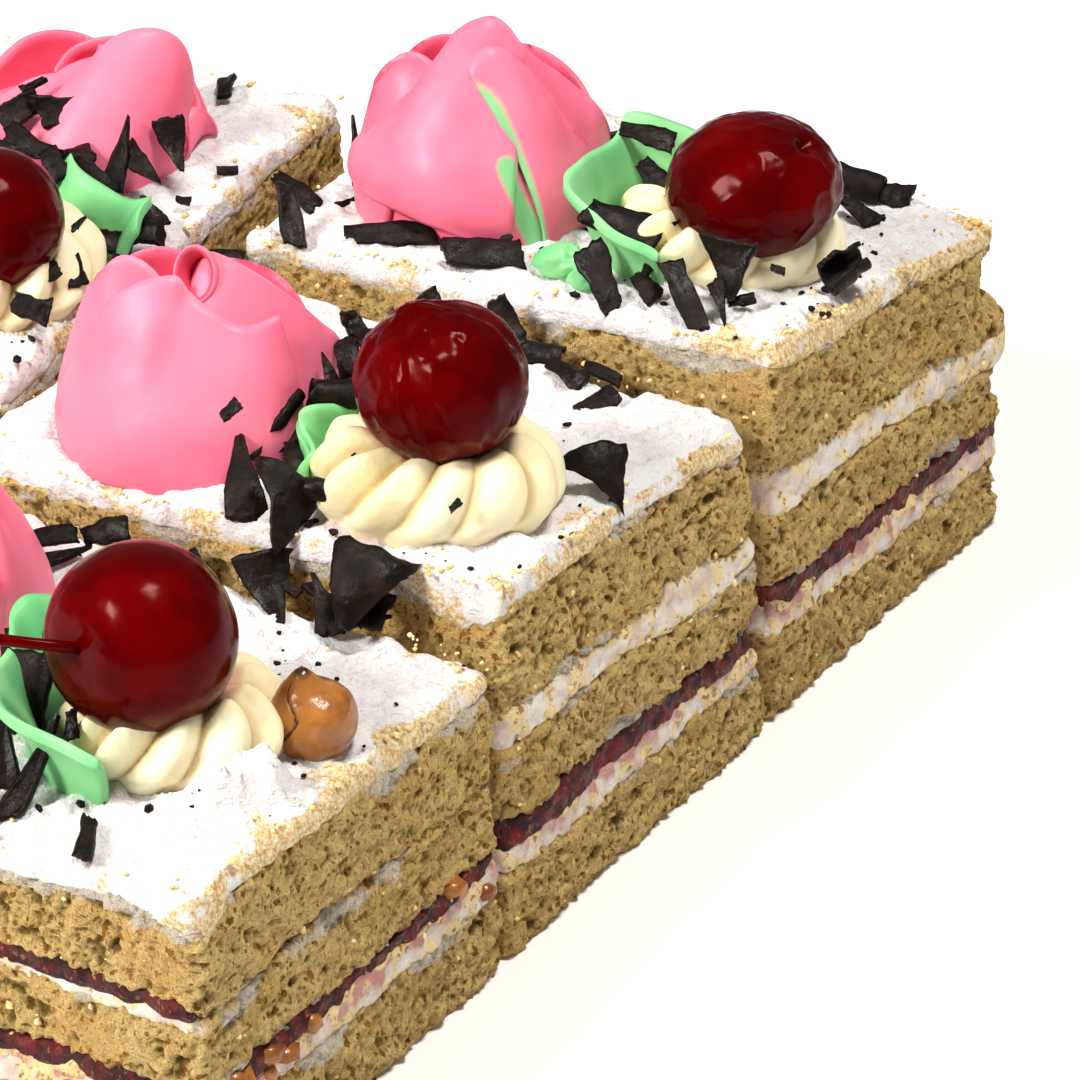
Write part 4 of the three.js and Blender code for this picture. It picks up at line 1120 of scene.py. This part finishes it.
def rosette(s):
    """Ring profile with folds: each row's wave is turned a little on from the row below. A fold
    grows nearly evenly with the way across it, and falls back ever more steeply over its last part."""
    r = s["rosette"]
    rows, count = ROSETTE_GRID
    profile = through(ROSETTE_ROWS, rows)
    angle = full_turn(count) + math.radians(r["turn"])
    reach, rise, depth = (profile[:, k][:, None] for k in range(3))
    way = np.linspace(0, 1, rows)[:, None]
    uneven = 0.8 * np.sin(2 * angle + s["seed"]) + 0.5 * np.sin(3 * angle + 2 * s["seed"])
    uneven = uneven + 0.3 * np.sin(7 * angle)
    across = ((RIDGES * angle + uneven + SLANT * way ** 0.9) / (2 * np.pi)) % 1.0
    ridge = 2.6 * across ** 0.9 * np.clip(1 - across, 0, 1) ** 0.6 - 0.65
    ridge = ridge + 0.45 * np.sin(2 * np.pi * across - 1.9)
    strong = depth * ridge * (0.85 + 0.35 * np.sin(angle + s["seed"]) + 0.2 * np.sin(3 * angle))
    start = bell(nearest_turn(angle - math.radians(150 + 40 * s["seed"])), 0.5)
    u, v = beside(r, r["radius"] * reach * (1 + strong + 0.05 * start), angle)
    top = top_height(s, u, v)
    foot = mix(top - 0.8, top + SEAT, ease(way, 0, 0.12))
    rings = points_of(u, v, foot + r["height"] * rise * (1 + 1.5 * strong + 0.1 * start))
    swell = over_grid(rings, 6, s["seed"] + 500, 3)
    rings[..., 2] += 0.8 * swell * ease(rise, 0.1, 0.5)
    rings[..., 0] += 0.3 * swell * np.cos(angle)
    rings[..., 1] += 0.3 * swell * np.sin(angle)
    ends = [(r["u"], r["v"], ground(s, r["u"], r["v"]) + high) for high in (0, 0.5 * r["height"])]
    pink = ease(-reach, -0.72, -0.5) + 0 * ridge
    # painted shade in the grooves between the folds, stored as fold
    groove_shade = np.clip(-ridge, 0, 1) * ease(rise, 0.05, 0.3) * 0.8
    values = dict(fold=with_ends(groove_shade), pink=with_ends(pink))
    shape = ring_stack(rings, *ends)
    return add_piece(s, "rosette_cream", shape, rosette_finish, values, ["rosette"])


for s in SLICES:
    rosette(s)

# %% [markdown]
# The leaf is a ribbon of green cream that ruffles as the nozzle is jiggled. It stands round the left
# side of the rosette, swings in and out in broad waves towards its free edge, and ends at the front
# in a lump where the nozzle was pulled away.

# %% Piped leaves
LEAF_GRID = (150, 26)


def ball(rows, count):
    """Ball of radius 1 as rings from its foot to its tip: each ring's angle from the tip, each
    point's angle round it, and the points."""
    polar = np.pi * (1 - np.linspace(0, 1, rows)[1:-1])[:, None]
    angle = full_turn(count)[None, :]
    flat = np.sin(polar)
    return polar, angle, points_of(flat * np.cos(angle), flat * np.sin(angle), np.cos(polar))


def blob(at, size, seed):
    """Uneven ball of cream, flatter than it is wide, with a few soft hollows."""
    unit = ball(40, 60)[2]
    rough = over_grid(unit * 4, 2.6, seed, 3)
    rings = np.array(at) + unit * np.array(size) * (1 + 0.3 * rough)[..., None]
    return ring_stack(rings, rings[0].mean(0) - (0, 0, 0.1), rings[-1].mean(0))


def leaf(s):
    """Ribbon of angle round the rosette and height: the free edge waves in and out and up and down,
    and the ribbon thins towards that edge and rounds off."""
    r, w = s["rosette"], s["leaf"]
    around, up = LEAF_GRID
    a = np.linspace(0, 1, around)[:, None]
    t = np.linspace(0, 1, up)[None, :]
    angle = np.radians(mix(w["start"], w["end"], a))
    spread = np.sin(np.pi * mix(0.1, 0.9, a)) ** 0.45
    swing = a * 2.4 * 2 * np.pi + s["seed"]
    ruffle = t ** 1.3 * (1.3 * np.sin(swing) + 0.3 * np.sin(2.1 * swing + 1))
    rim = closing(t, 0.86, 0.14) * closing(abs(2 * a - 1), 0.95, 0.05)
    tall = w["height"] * spread * mix(1.4, w.get("front", 0.8), a) + 1.2 + 0.9 * np.sin(swing + 0.8)
    both = []
    for side in (1, -1):
        out = r["radius"] + w["reach"] + w["flare"] * t ** 2.2 + ruffle
        u, v = beside(r, out + side * 0.8 * (1.25 - 0.5 * t) * rim, angle + 0.09 * np.cos(swing) * t)
        both.append(points_of(u, v, top_height(s, u, v) - 0.6 + t * tall - 0.5 * t ** 4 * side))
    # painted shade: darker towards the foot and where the ribbon swings in, and fuller on the inner face
    leaf_shade = np.clip(1 - t * 1.5, 0, 1) * 0.8 + 0.3 * np.clip(-np.sin(swing), 0, 1) * (1 - 0.6 * t)
    parts = [sheet(*both)]
    fold = np.concatenate([0.45 * leaf_shade.ravel(), leaf_shade.ravel()])
    for right, front, high, size in w.get("lumps", ()):
        u, v = r["u"] + right, r["v"] + front
        parts.append(blob((u, v, ground(s, u, v) + high), size, s["seed"] + 460))
        fold = np.append(fold, np.full(len(parts[-1][0]), 0.15))
    return add_piece(s, "leaf_cream", join(parts), leaf_finish, dict(fold=fold), ["leaf"])


for s in SLICES:
    leaf(s)

# %% [markdown]
# Candied cherries have a taut skin that puckers round the hole where the stone came out. One still
# has its stem, a thin bent rod, made as a circle carried along a curve.

# %% Cherries
def axis_turn(axis):
    """Rows of the turn that carries the upright onto an axis: two crosswise directions and the axis."""
    w = np.array(axis, float) / np.linalg.norm(axis)
    a = np.cross([0, 0, 1.0] if abs(w[2]) < 0.9 else [1.0, 0, 0], w)
    a /= np.linalg.norm(a)
    return np.stack([a, np.cross(w, a), w])


def rod(path, radius, around=12):
    """Closed rod: a circle carried along a curve, square to it at every point."""
    way = np.gradient(path, axis=0)
    way /= np.linalg.norm(way, axis=1)[:, None]
    side = np.cross(way, [0, 0, 1.0])
    side /= np.linalg.norm(side, axis=1)[:, None]
    up = np.cross(side, way)
    angle = full_turn(around)
    turn = side[:, None] * np.cos(angle)[None, :, None] - up[:, None] * np.sin(angle)[None, :, None]
    return ring_stack((path[:, None] + radius * turn)[:, ::-1], path[0], path[-1])


def cherry(s):
    """Ball by polar and round angle about the dimple's axis: a dip or a nub at the dimple, puckers
    that run away from it, and the whole squashed a little by its own weight."""
    c = s["cherry"]
    polar, angle, unit = ball(90, 120)
    along = unit * c["radius"] * np.array([1, 1, 0.4])
    pucker = np.abs(over_grid(along, 3.6, s["seed"] + 600, 3))
    broad = over_grid(unit * c["radius"], 9, s["seed"] + 610, 2)
    deep, wide = c["dip"]
    pleats = np.abs(np.cos(3.5 * angle + 2.2 * broad + 0.6 * polar)) ** 0.5 * np.sin(polar) ** 0.5
    wrinkles = 2.0 * c["wrinkle"] * (0.3 - 2.2 * pucker * np.exp(-pucker))
    size = c["radius"] * (1 + wrinkles + 0.03 * broad + c["pleat"] * (2 * pleats - 1.2))
    size = size - deep * bell(polar, wide)
    axes = axis_turn(c["dimple"])
    squash = np.array([1, 1, c["squash"]])
    centre = np.array([c["u"], c["v"], c["z"]])
    rings = (unit * size[..., None]) @ axes * squash + centre
    ends = [axes[2] * far * squash + centre for far in (-c["radius"], c["radius"] - deep)]
    parts = [ring_stack(rings, *ends)]
    if c["stem"]:
        start = centre + axes[2] * (c["radius"] - 2.6)
        shares = through([(0, 0, 0), (0.1, 0.14, 0.06), (0.42, 0.32, 0.1), (0.8, 0.5, 0.1)], 40)
        parts.append(rod(start + shares * np.array([-1, -1, 1]) * c["stem"], 0.62))
    return add_piece(s, "cherry_fruit", join(parts), cherry_finish, None, ["cherry"])


for s in SLICES:
    cherry(s)

# %% Glazed hazelnut
NUT = dict(u=30.2, v=3.5, radius=4.7, seat=0.68, stretch=1.05, tip=0.24)


def hazelnut(s):
    """Egg shape on the frosting, stretched upwards to a point, with a crooked dark crack between
    its halves and a dark tip."""
    polar, angle, unit = ball(60, 96)
    ridges = over_grid(unit * np.array([6, 6, 1.5]), 1.6, 700, 3)
    side = np.maximum(0, np.cos(angle - math.radians(300))) * np.sin(polar)
    crooked = 0.25 * ridges + 0.25 * np.sin(4 * polar)
    crack = bell(nearest_turn(angle - math.radians(262) + crooked), 0.07)
    crack = crack * ease(polar, 0.15, 0.35) * (1 - ease(polar, 1.7, 2.1))
    tip = NUT["tip"] * bell(polar, 0.3) - 0.04 * bell(polar - 0.55, 0.3)
    size = NUT["radius"] * (1 - 0.12 * side + tip) * (1 + 0.025 * ridges - 0.05 * crack)
    base = ground(s, NUT["u"], NUT["v"]) + NUT["radius"] * NUT["seat"]
    lean = 0.9 * ease(unit[..., 2], 0.5, 1.0)
    rings = size[..., None] * unit * np.array([1, 1, NUT["stretch"]])
    rings = rings + np.array([NUT["u"], NUT["v"], base]) - lean[..., None] * np.array([1, 0.6, 0])
    foot = (NUT["u"], NUT["v"], base - NUT["stretch"] * NUT["radius"])
    dark = with_ends(np.maximum(crack, bell(polar, 0.22)), 0, 1)
    shape = ring_stack(rings, foot, rings[-1].mean(0))
    return add_piece(s, "hazelnut_glazed", shape, nut, dict(cut=dark), ["hazelnut"])


hazelnut(BY_NAME["slice1"])

# %% [markdown]
# Chocolate shards are shaved off a block, so some are flat bars with a scored back, some are broad
# flakes, some are blades that taper to a point, and some have curled up as they came off. Each is a
# small sheet of length and width, bent both ways, with a torn outline. A row gives its kind, the
# place of its middle and its height over the plain top, its length and width, and three turns in
# degrees: the way its tip points, how steeply it rises to it, and how far it leans on its side.

# %% Chocolate shards
KINDS = {  # bend across in radians, bow along, taper to the tip, thickness in millimetres
    "bar": (0.7, 0.03, 0.04, 1.7), "blade": (0.8, 0.16, 0.86, 0.7), "flake": (0.9, 0.12, 0.34, 0.7),
    "curl": (4.2, 0.06, 0.25, 0.6), "chip": (0.5, 0.1, 0.3, 0.7),
}
SHARDS = {
    "slice1": [
        ("blade", 16.5, 26, 2.4, 7.5, 3.4, 145, 35, -15), ("blade", 21, 26.4, 1.2, 7, 2.2, 45, 5, 25),
        ("blade", 10, 25.4, 2.4, 8.5, 7.4, -35, -35, 15), ("flake", -3, 27, 1.2, 4.6, 2.4, -135, -5, -25),
        ("flake", -9.6, 13, 8.6, 5.6, 3, -135, -5, -25), ("flake", -6.4, 18.5, 7.4, 5, 3.6, -145, -5, -35),
        ("flake", -1, -3, 7.6, 4.6, 2.8, -140, -5, -25), ("flake", 5, -11.5, 6, 9, 6.2, -65, -45, -5),
        ("blade", 12, -20.6, 3.8, 12, 3.2, 92, 36, 20), ("blade", 7.6, -19.4, 4, 8.4, 3.4, 125, 42, 0),
        ("chip", 13, -15, 6.6, 3, 1.6, 125, 45, -5), ("flake", 22, -25.6, 1, 6, 2.6, 120, 8, 0),
        ("blade", 21.5, 25.6, 6, 9.5, 10.4, -85, -45, -20), ("flake", 22.6, 27, 3, 4.4, 4, -85, -30, -10),
        ("chip", 11.5, 27.4, 2, 2.4, 1.4, 175, 15, -20), ("chip", 15, 27.6, 2, 3.6, 1.8, 170, 15, -20),
        ("blade", -4, 25, 1.4, 5.4, 2, -140, -5, -25), ("curl", -12, -19, 1.6, 8, 3.4, 20, 0, 0),
        ("blade", -14, 20, 1.4, 7.5, 3, 48, 5, 10), ("flake", -3, -21, 1.4, 9, 3.3, -46, 4, 15),
        ("blade", -33, -14, 1.2, 6, 2.6, 60, 5, 0), ("flake", -24, -20, 1.2, 7, 3, -20, 6, 10),
    ],
    "slice2": [
        ("curl", -3, -14, 5.4, 9, 6, -100, -40, -30), ("flake", 1.5, -10, 4.6, 7, 4.6, -95, -40, -25),
        ("blade", 0, -22.8, 2.8, 10.5, 6, 125, 32, 0), ("blade", 6.6, -24.4, 3.4, 9, 9, 175, 30, -35),
        ("curl", 11.6, -24.4, 5, 3.8, 3, -160, 5, -30), ("flake", 16, -18.6, 7.8, 6, 4.8, 175, 25, -30),
        ("curl", 5, -9, 9.2, 7.5, 3.8, -150, 0, -30), ("blade", 1, -7, 10, 3.6, 1.6, 150, 45, -20),
        ("flake", 1, -2.6, 9.4, 5, 3.6, 145, 35, -15), ("blade", 1, 5, 9, 7, 3, 45, 5, 30),
        ("flake", -3.8, 6, 8.6, 4, 3, 155, 40, -25), ("flake", -1, 15.6, 7, 6, 4.4, -120, -20, -30),
        ("flake", 4.4, 24.6, 4, 6.4, 4, 150, 50, -20), ("curl", 8.6, 25.4, 1.6, 5.4, 3.4, -165, 5, -25),
        ("flake", 14, 22.6, 1.2, 5.6, 3, 170, 10, -15), ("chip", 17, 25.6, 1, 4.8, 2, 180, 10, -15),
        ("chip", 20.5, 18.5, 1, 5.4, 3.2, -115, -10, -15), ("blade", 31.6, -1, 3.4, 7.4, 8.4, -150, 0, -45),
        ("chip", 0.6, -25.4, 12.4, 2.6, 1.6, -110, -25, -25),
        ("chip", 28, -23.4, 6.4, 1.6, 1, -110, -25, -25), ("chip", 12.4, -18.6, 8.4, 2.2, 0.7, -160, 5, -30),
        ("chip", 13.6, -20.2, 8, 1.6, 0.8, -105, -20, -20), ("blade", -1.5, -16.5, 3, 9, 4, -110, -20, 10),
        ("flake", 3.6, -17, 2.6, 7, 4.4, -60, -15, -15), ("flake", -35.4, 25.6, 1.4, 4.8, 2.4, -160, 5, -30),
        ("blade", -30, 8, 1.2, 6, 2.4, 15, 4, 0),
    ],
    "slice3": [
        ("bar", -17.6, -23.4, 2, 10, 3.2, -147, 0, -30), ("bar", -5.2, -23, 2, 9.2, 3.9, -152, 2, -30),
        ("flake", 9.4, -15.8, 6.4, 9, 5.2, -160, 10, -35), ("flake", 2.6, 1.6, 10.4, 6.8, 3, -165, 10, -30),
        ("flake", 3, 13, 6.4, 4.8, 3, -150, 0, -30), ("flake", 6.6, -3.6, 7.4, 5.6, 3.4, 160, 30, -20),
        ("blade", 26, -19.4, 5, 7.4, 7.4, -65, -40, -5), ("curl", 34, -6.6, 2.6, 5.6, 4.8, 65, 20, 25),
        ("flake", 11.6, -24.4, 2.6, 9, 3.8, -35, -32, 15), ("bar", 22.6, -24, 2.6, 9.6, 3, -35, -32, 15),
        ("flake", 16.4, -22.4, 1.8, 4.2, 2.8, 165, 20, -15), ("blade", 27, -23.6, 2.4, 6, 2.4, -45, -35, 5),
        ("chip", 27.6, -19.6, 1.8, 3.2, 1.7, -140, -5, -25), ("curl", 19.4, 21, 3.4, 8.6, 4.4, 15, -10, 30),
        ("flake", 24.4, 23.4, 2, 4.6, 4, -160, 5, -30), ("flake", 24.4, 15, 2, 5, 3, 175, 20, -25),
        ("blade", -31, -10.6, 5, 9, 2.6, 130, 55, -10), ("chip", -29, -15.6, 0.8, 3.2, 1.2, -125, -5, -15),
        ("chip", 15.6, -20.6, 3.2, 3, 1.3, -85, -30, -15), ("chip", 14.4, -13, 7, 1.8, 1, 170, 20, -20),
        ("chip", 30.6, -16.6, 5.4, 1.8, 1, -170, 10, -30), ("chip", -5, -18.6, 2, 1.8, 1.2, -105, -25, -20),
        ("flake", -35, -18, 1.8, 7.6, 3, 165, 14, -15), ("flake", -30, -26.6, 3, 8, 3, 135, 45, -10),
        ("blade", -28, 12, 1.2, 6, 2.4, 20, 4, 0), ("flake", -12, 16, 1.4, 6, 2.8, 40, 5, 10),
    ],
    "slice4": [
        ("flake", -7, 4, 11.6, 3.2, 1.4, 140, 15, 35), ("flake", -6.4, 9.6, 9.6, 8, 4.2, 125, 10, 50),
        ("flake", -4.4, 3.4, 9, 5.4, 4.4, 140, 20, 45), ("blade", 1, 9, 8, 7.6, 5, 105, -10, 35),
        ("flake", 2.6, 12.4, 7, 4.6, 3.4, -120, 30, -20), ("flake", 1.6, 16.4, 5.6, 5.4, 5, -90, 25, -40),
        ("blade", -4.6, 17.4, 6.2, 9.4, 3.4, -170, 50, 15), ("blade", -5.4, 19.6, 4.6, 6.4, 3.8, 85, -25, 30),
        ("blade", -9.4, 22, 6.2, 6.8, 4.4, 55, -50, 20), ("blade", 1.4, 24.6, 3, 4.2, 4, -130, 35, -15),
        ("flake", 6.6, 27, 2.6, 5, 4, -65, 0, -35), ("flake", 10.4, 25.4, 3.2, 4, 4, -75, 10, -35),
        ("blade", 14, 22.4, 6.2, 3.4, 1.8, 165, 25, 20), ("chip", 25.4, 24.8, 6, 4, 2.2, -30, -15, -25),
        ("chip", 21, 26.4, 4.4, 4, 2.4, -140, 30, -5), ("chip", 29.4, 25.4, 3.6, 4.6, 3.6, -80, 10, -30),
        ("chip", -15, 26, 0.8, 2.6, 1.2, -65, 0, -15), ("chip", -6, 25, 1.2, 1.8, 1.2, -75, 5, -15),
        ("chip", 13.6, 27, 2, 2.6, 1.2, 10, -30, -10), ("blade", 3, 6.6, 7.6, 4, 3.4, 110, -5, 35),
        ("flake", 0, 13, 6, 7, 4.6, 150, 10, 20), ("blade", 4, 3, 4, 8, 4, 120, 14, 10),
        ("curl", 7, -4, 2, 9, 3.8, 20, 0, 0), ("flake", 22, -8, 1.4, 8, 3, 160, 4, 10),
        ("flake", -8, -13, 1.2, 7.5, 3, 100, 5, 0), ("blade", 34, -4, 1.2, 7, 2.8, 70, 5, 0),
        ("flake", -34, 15, 1.4, 6, 2.6, 30, 5, 10), ("blade", -24, -19, 1.2, 6, 2.6, -40, 4, 0),
    ],
}
SHARD_GRID = (21, 15)


def turn_matrix(yaw, pitch, spin):
    """Turn about the length, then up about the width, then round the upright, all in degrees."""
    angles = [math.radians(x) for x in (yaw, pitch, spin)]
    cy, sy, cp, sp, cr, sr = (f(x) for x in angles for f in (math.cos, math.sin))
    about_length = np.array([[1, 0, 0], [0, cr, -sr], [0, sr, cr]])
    about_width = np.array([[cp, 0, -sp], [0, 1, 0], [sp, 0, cp]])
    about_upright = np.array([[cy, -sy, 0], [sy, cy, 0], [0, 0, 1]])
    return about_upright @ about_width @ about_length


def shard(s, order, row):
    """Sheet bent to an arc across and a bow along, with a torn outline, then turned into place."""
    kind, u, v, lift, length, width, yaw, pitch, lean = row
    arc, bow, taper, thick = KINDS[kind]
    seed = s["seed"] + 3 * order
    m, n = SHARD_GRID
    a, b = np.linspace(0, 1, m)[:, None], np.linspace(-0.5, 0.5, n)[None, :]
    grid = points_of(9 * a + 0 * b, 6 * b + 0 * a, 7.3 * order)
    torn = over_grid(grid, 2.2, 800 + s["seed"], 3)
    ragged = over_grid(grid, 1.1, 820 + s["seed"], 3)
    arc = arc * (0.75 + 0.5 * scatter(seed, 1, 2))
    twist = 0.6 * (scatter(seed, 8, 3) - 0.5) * (kind in ("blade", "flake"))
    half = np.clip(1 - taper * a ** (0.8 + 0.5 * scatter(seed, 4, 4)), 0.03, 1)
    half = half * (1 + 0.25 * torn[:, n // 2, None])
    radius = width * np.clip(half, 0.04, 2) / (2 * math.sin(min(arc / 2, math.pi / 2)))
    end = np.where(a < 0.5, 1.0, 0.35) if kind == "blade" else 1.0
    skew = 0.3 * (scatter(seed, 7, 5) - 0.5) * b + 0.07 * ragged
    x = length * (a - 0.5 + skew * np.abs(2 * a - 1) ** 3 * end)
    bend = arc * (b + 0.05 * ragged * np.abs(2 * b) ** 3) + twist * (a - 0.5)
    lifted = bow * width * (1 - (2 * a - 1) ** 2) * (1 if scatter(seed, 5, 1) > 0.4 else -1)
    flip = -1 if kind != "bar" and scatter(seed, 6, 6) > 0.55 else 1
    middle = radius * (0.5 * math.cos(min(arc / 2, 1.2)) + 0.5)
    turn = turn_matrix(yaw, pitch, lean)
    base = np.array([u, v, ground(s, u, v) + lift])
    both = []
    for depth in (0.0, thick):
        far = radius - depth * np.minimum(1, 0.35 + 2.5 * radius / width)
        z = flip * (far * np.cos(bend) - middle + lifted + 0.2 * torn)
        both.append(points_of(x, far * np.sin(bend), z) @ turn.T + base)
    return sheet(*both[::flip])


for s in SLICES:
    shape = join([shard(s, order, row) for order, row in enumerate(SHARDS[s["name"]])])
    piece = add_piece(s, "chocolate", shape, chocolate)
    print(piece.name, len(piece.data.polygons), "faces")

# %% [markdown]
# Crumbs. Cutting leaves loose crumbs of sponge on the rims and along the fillings, and dust of
# chocolate on the frosting. Each crumb is a small lump of twenty triangles, and all crumbs of one
# kind are one mesh. Their places follow the same formulas as the surfaces that they lie on.

# %% Lumps of twenty triangles
GOLDEN = (1 + math.sqrt(5)) / 2
PAIRS = [(a, b * GOLDEN) for a in (-1, 1) for b in (-1, 1)]
LUMP_POINTS = np.array([(0, a, b) for a, b in PAIRS] + [(a, b, 0) for a, b in PAIRS]
                       + [(b, 0, a) for a, b in PAIRS]) / math.hypot(1, GOLDEN)


def lump_faces():
    """All threes of points that lie one edge apart, each turned to face outwards."""
    gap = np.linalg.norm(LUMP_POINTS[:, None] - LUMP_POINTS[None], axis=2)
    near = (gap > 0.1) & (gap < 1.2)
    found = [(i, j, k) for i in range(12) for j in range(i + 1, 12) for k in range(j + 1, 12)
             if near[i, j] and near[j, k] and near[i, k]]
    faces = []
    for i, j, k in found:
        a, b, c = LUMP_POINTS[[i, j, k]]
        faces.append((i, j, k) if np.dot(np.cross(b - a, c - a), a) > 0 else (i, k, j))
    return np.array(faces)


LUMP_FACES = lump_faces()


def lumps_at(places, sizes, rng, flatness):
    """One uneven lump at each place: the twelve points pushed in and out, stretched and turned."""
    count = len(places)
    radius = sizes[:, None] * rng.uniform(0.65, 1.25, (count, 12))
    stretch = rng.uniform(0.7, 1.3, (count, 1, 3)) * np.array([1, 1, flatness])
    points = LUMP_POINTS * radius[..., None] * stretch
    yaw = rng.uniform(0, 2 * np.pi, count)[:, None]
    c, n = np.cos(yaw), np.sin(yaw)
    u, v = points[..., 0] * c - points[..., 1] * n, points[..., 0] * n + points[..., 1] * c
    points = points_of(u, v, points[..., 2]) + places[:, None]
    faces = LUMP_FACES + 12 * np.arange(count)[:, None, None]
    return points.reshape(-1, 3), [faces.reshape(-1, 3)]


# %% Crumbs on the rims and walls, nut pieces and chocolate dust
RIM_CRUMBS = 420
WALL_CRUMBS = 260
NUT_PIECES = 44
DUST_GRAINS = 90


def on_top(s, u, v):
    """Places on the frosting, a little sunk into it."""
    relief = 0.85 * frosting_relief(s, u, v) - 0.5 * bare_share(s, u, v, 0)
    return points_of(u, v, top_height(s, u, v) + relief)


def spots_round(s, index):
    """The outline's values at the given points round the slice."""
    return {key: numbers[index] for key, numbers in EDGES[s["name"]].items()}


def on_wall(s, spots, z, out):
    """Places on the wall at the given spots and heights, a little way out."""
    u, v = leaned(s, spots["u"], spots["v"], z)
    return pushed(spots, u, v, z, out - dents(s, u, v, z) + slow_wave(s, spots))


def crumbs(s):
    """Sponge crumbs: along the rim of the top, and over the free walls at any height."""
    rng = np.random.default_rng(s["seed"] + 900)
    free = EDGES[s["name"]]["free"]
    spots = spots_round(s, rng.integers(0, len(free), RIM_CRUMBS))
    depth = 0.3 + rng.exponential(1.8, RIM_CRUMBS)
    u, v = spots["u"] - spots["nu"] * depth, spots["v"] - spots["nv"] * depth
    keep = rng.random(RIM_CRUMBS) < 0.15 + bare_share(s, u, v, 0)
    top = on_top(s, u[keep], v[keep])
    index = rng.integers(0, len(free), WALL_CRUMBS)
    spots = spots_round(s, index[free[index] > 0.5])
    z = 1.2 + limit_height(s, 0.9, spots["u"], spots["v"]) * rng.random(len(spots["u"]))
    places = np.concatenate([top, on_wall(s, spots, z, 0.1)])
    sizes = np.clip(rng.lognormal(-1.3, 0.35, len(places)), 0.14, 0.5)
    return lumps_at(places, sizes, rng, 0.9)


def nuts(s):
    """Chopped nuts: caught in the lower cream all round."""
    rng = np.random.default_rng(s["seed"] + 950)
    low, high = s["layers"][0][2], s["layers"][2][2]
    spots = spots_round(s, rng.integers(0, len(EDGES[s["name"]]["u"]), NUT_PIECES))
    z = rng.uniform(low + 0.01, high + 0.01, NUT_PIECES) * top_height(s, spots["u"], spots["v"])
    return lumps_at(on_wall(s, spots, z, 0.15), rng.uniform(0.8, 1.9, NUT_PIECES), rng, 0.8)


def dust(s):
    """Chocolate dust: thick beside the rosette and leaf, and thin elsewhere."""
    rng = np.random.default_rng(s["seed"] + 970)
    angle = rng.uniform(0, 2 * np.pi, DUST_GRAINS)
    far = s["rosette"]["radius"] + 1 + rng.exponential(7, DUST_GRAINS)
    u, v = beside(s["rosette"], far, angle)
    keep = (np.abs(u) < s["half"] - 1) & (np.abs(v) < HALF_WIDTH - 1) & (beyond(s["rose"], u, v) > 0.5)
    places = on_top(s, u[keep], v[keep]) + np.array([0, 0, 0.15])
    return lumps_at(places, np.clip(rng.lognormal(-1.1, 0.5, len(places)), 0.15, 0.9), rng, 0.6)


for s in SLICES:
    add_piece(s, "crumbs", crumbs(s), crumb_finish)
    add_piece(s, "chocolate_dust", dust(s), chocolate)
pieces_of_nut = nuts(BY_NAME["slice1"])
add_piece(BY_NAME["slice1"], "nut_pieces", pieces_of_nut, nut)
print("pieces of nut", len(pieces_of_nut[0]) // 12)

# %% [markdown]
# The set: a pale floor, a soft key light from the front left, and a weaker one overhead. The
# camera looks down at the cake from its front right corner with a long lens, close enough that the
# block runs out of the picture on the left.

# %% Floor and lights
FLOOR_REACH = 3
CORNER_SIGNS = [(-1, -1), (1, -1), (1, 1), (-1, 1)]
LOOK_AT = (0.02, 0.0, 0.04)

floor = bpy.data.meshes.new("floor")
floor.from_pydata([(x * FLOOR_REACH, y * FLOOR_REACH, 0) for x, y in CORNER_SIGNS], [], [(0, 1, 2, 3)])
floor_finish = Finish("floor", 0.95, 0.1)
floor_finish.shader.inputs["Base Color"].default_value = (0.94, 0.94, 0.94, 1)
floor.materials.append(floor_finish.material)
floor_piece = bpy.data.objects.new("floor", floor)
bpy.context.scene.collection.objects.link(floor_piece)

world = bpy.data.worlds.new("room")
bpy.context.scene.world = world
world.use_nodes = True
world.node_tree.nodes["Background"].inputs["Color"].default_value = (1, 0.97, 0.92, 1)
world.node_tree.nodes["Background"].inputs["Strength"].default_value = 0.22


def softbox(name, at, size, power, tint):
    """Square area light at a place in metres, turned towards the middle of the cake."""
    light = bpy.data.lights.new(name, "AREA")
    light.shape = "SQUARE"
    light.size = size
    light.energy = power
    light.color = tint
    lamp = bpy.data.objects.new(name, light)
    way = Vector(LOOK_AT) - Vector(at)
    lamp.matrix_world = way.to_track_quat("-Z", "Y").to_matrix().to_4x4()
    lamp.location = at
    bpy.context.scene.collection.objects.link(lamp)


softbox("key", (-0.32, -0.8, 0.76), 0.28, 15.5, (1.0, 0.97, 0.92))
softbox("overhead", (0.27, 0.04, 1.03), 0.25, 10, (1.0, 0.975, 0.93))

bpy.context.scene.view_settings.view_transform = "Standard"

# %% Camera
def camera_at(turn, tilt, roll, distance, target, lens):
    """Camera on a ball round a target: turn is measured from straight behind the front, tilt upwards."""
    a, e, r = (math.radians(x) for x in (turn, tilt, roll))
    back = np.array([math.sin(a) * math.cos(e), -math.cos(a) * math.cos(e), math.sin(e)])
    right = np.array([math.cos(a), math.sin(a), 0.0])
    up = np.cross(back, right)
    right, up = math.cos(r) * right + math.sin(r) * up, -math.sin(r) * right + math.cos(r) * up
    data = bpy.data.cameras.new("camera")
    data.lens = lens
    data.sensor_width = 36
    data.clip_start, data.clip_end = 0.01, 10
    camera = bpy.data.objects.new("camera", data)
    spot = np.array(target) + back * distance
    camera.matrix_world = Matrix([[right[k], up[k], back[k], spot[k]] for k in range(3)] + [[0, 0, 0, 1]])
    bpy.context.scene.collection.objects.link(camera)
    bpy.context.scene.camera = camera


camera_at(31.7, 29.7, -0.56, 0.668, (0.0434, 0.0203, 0.022), 191.6)
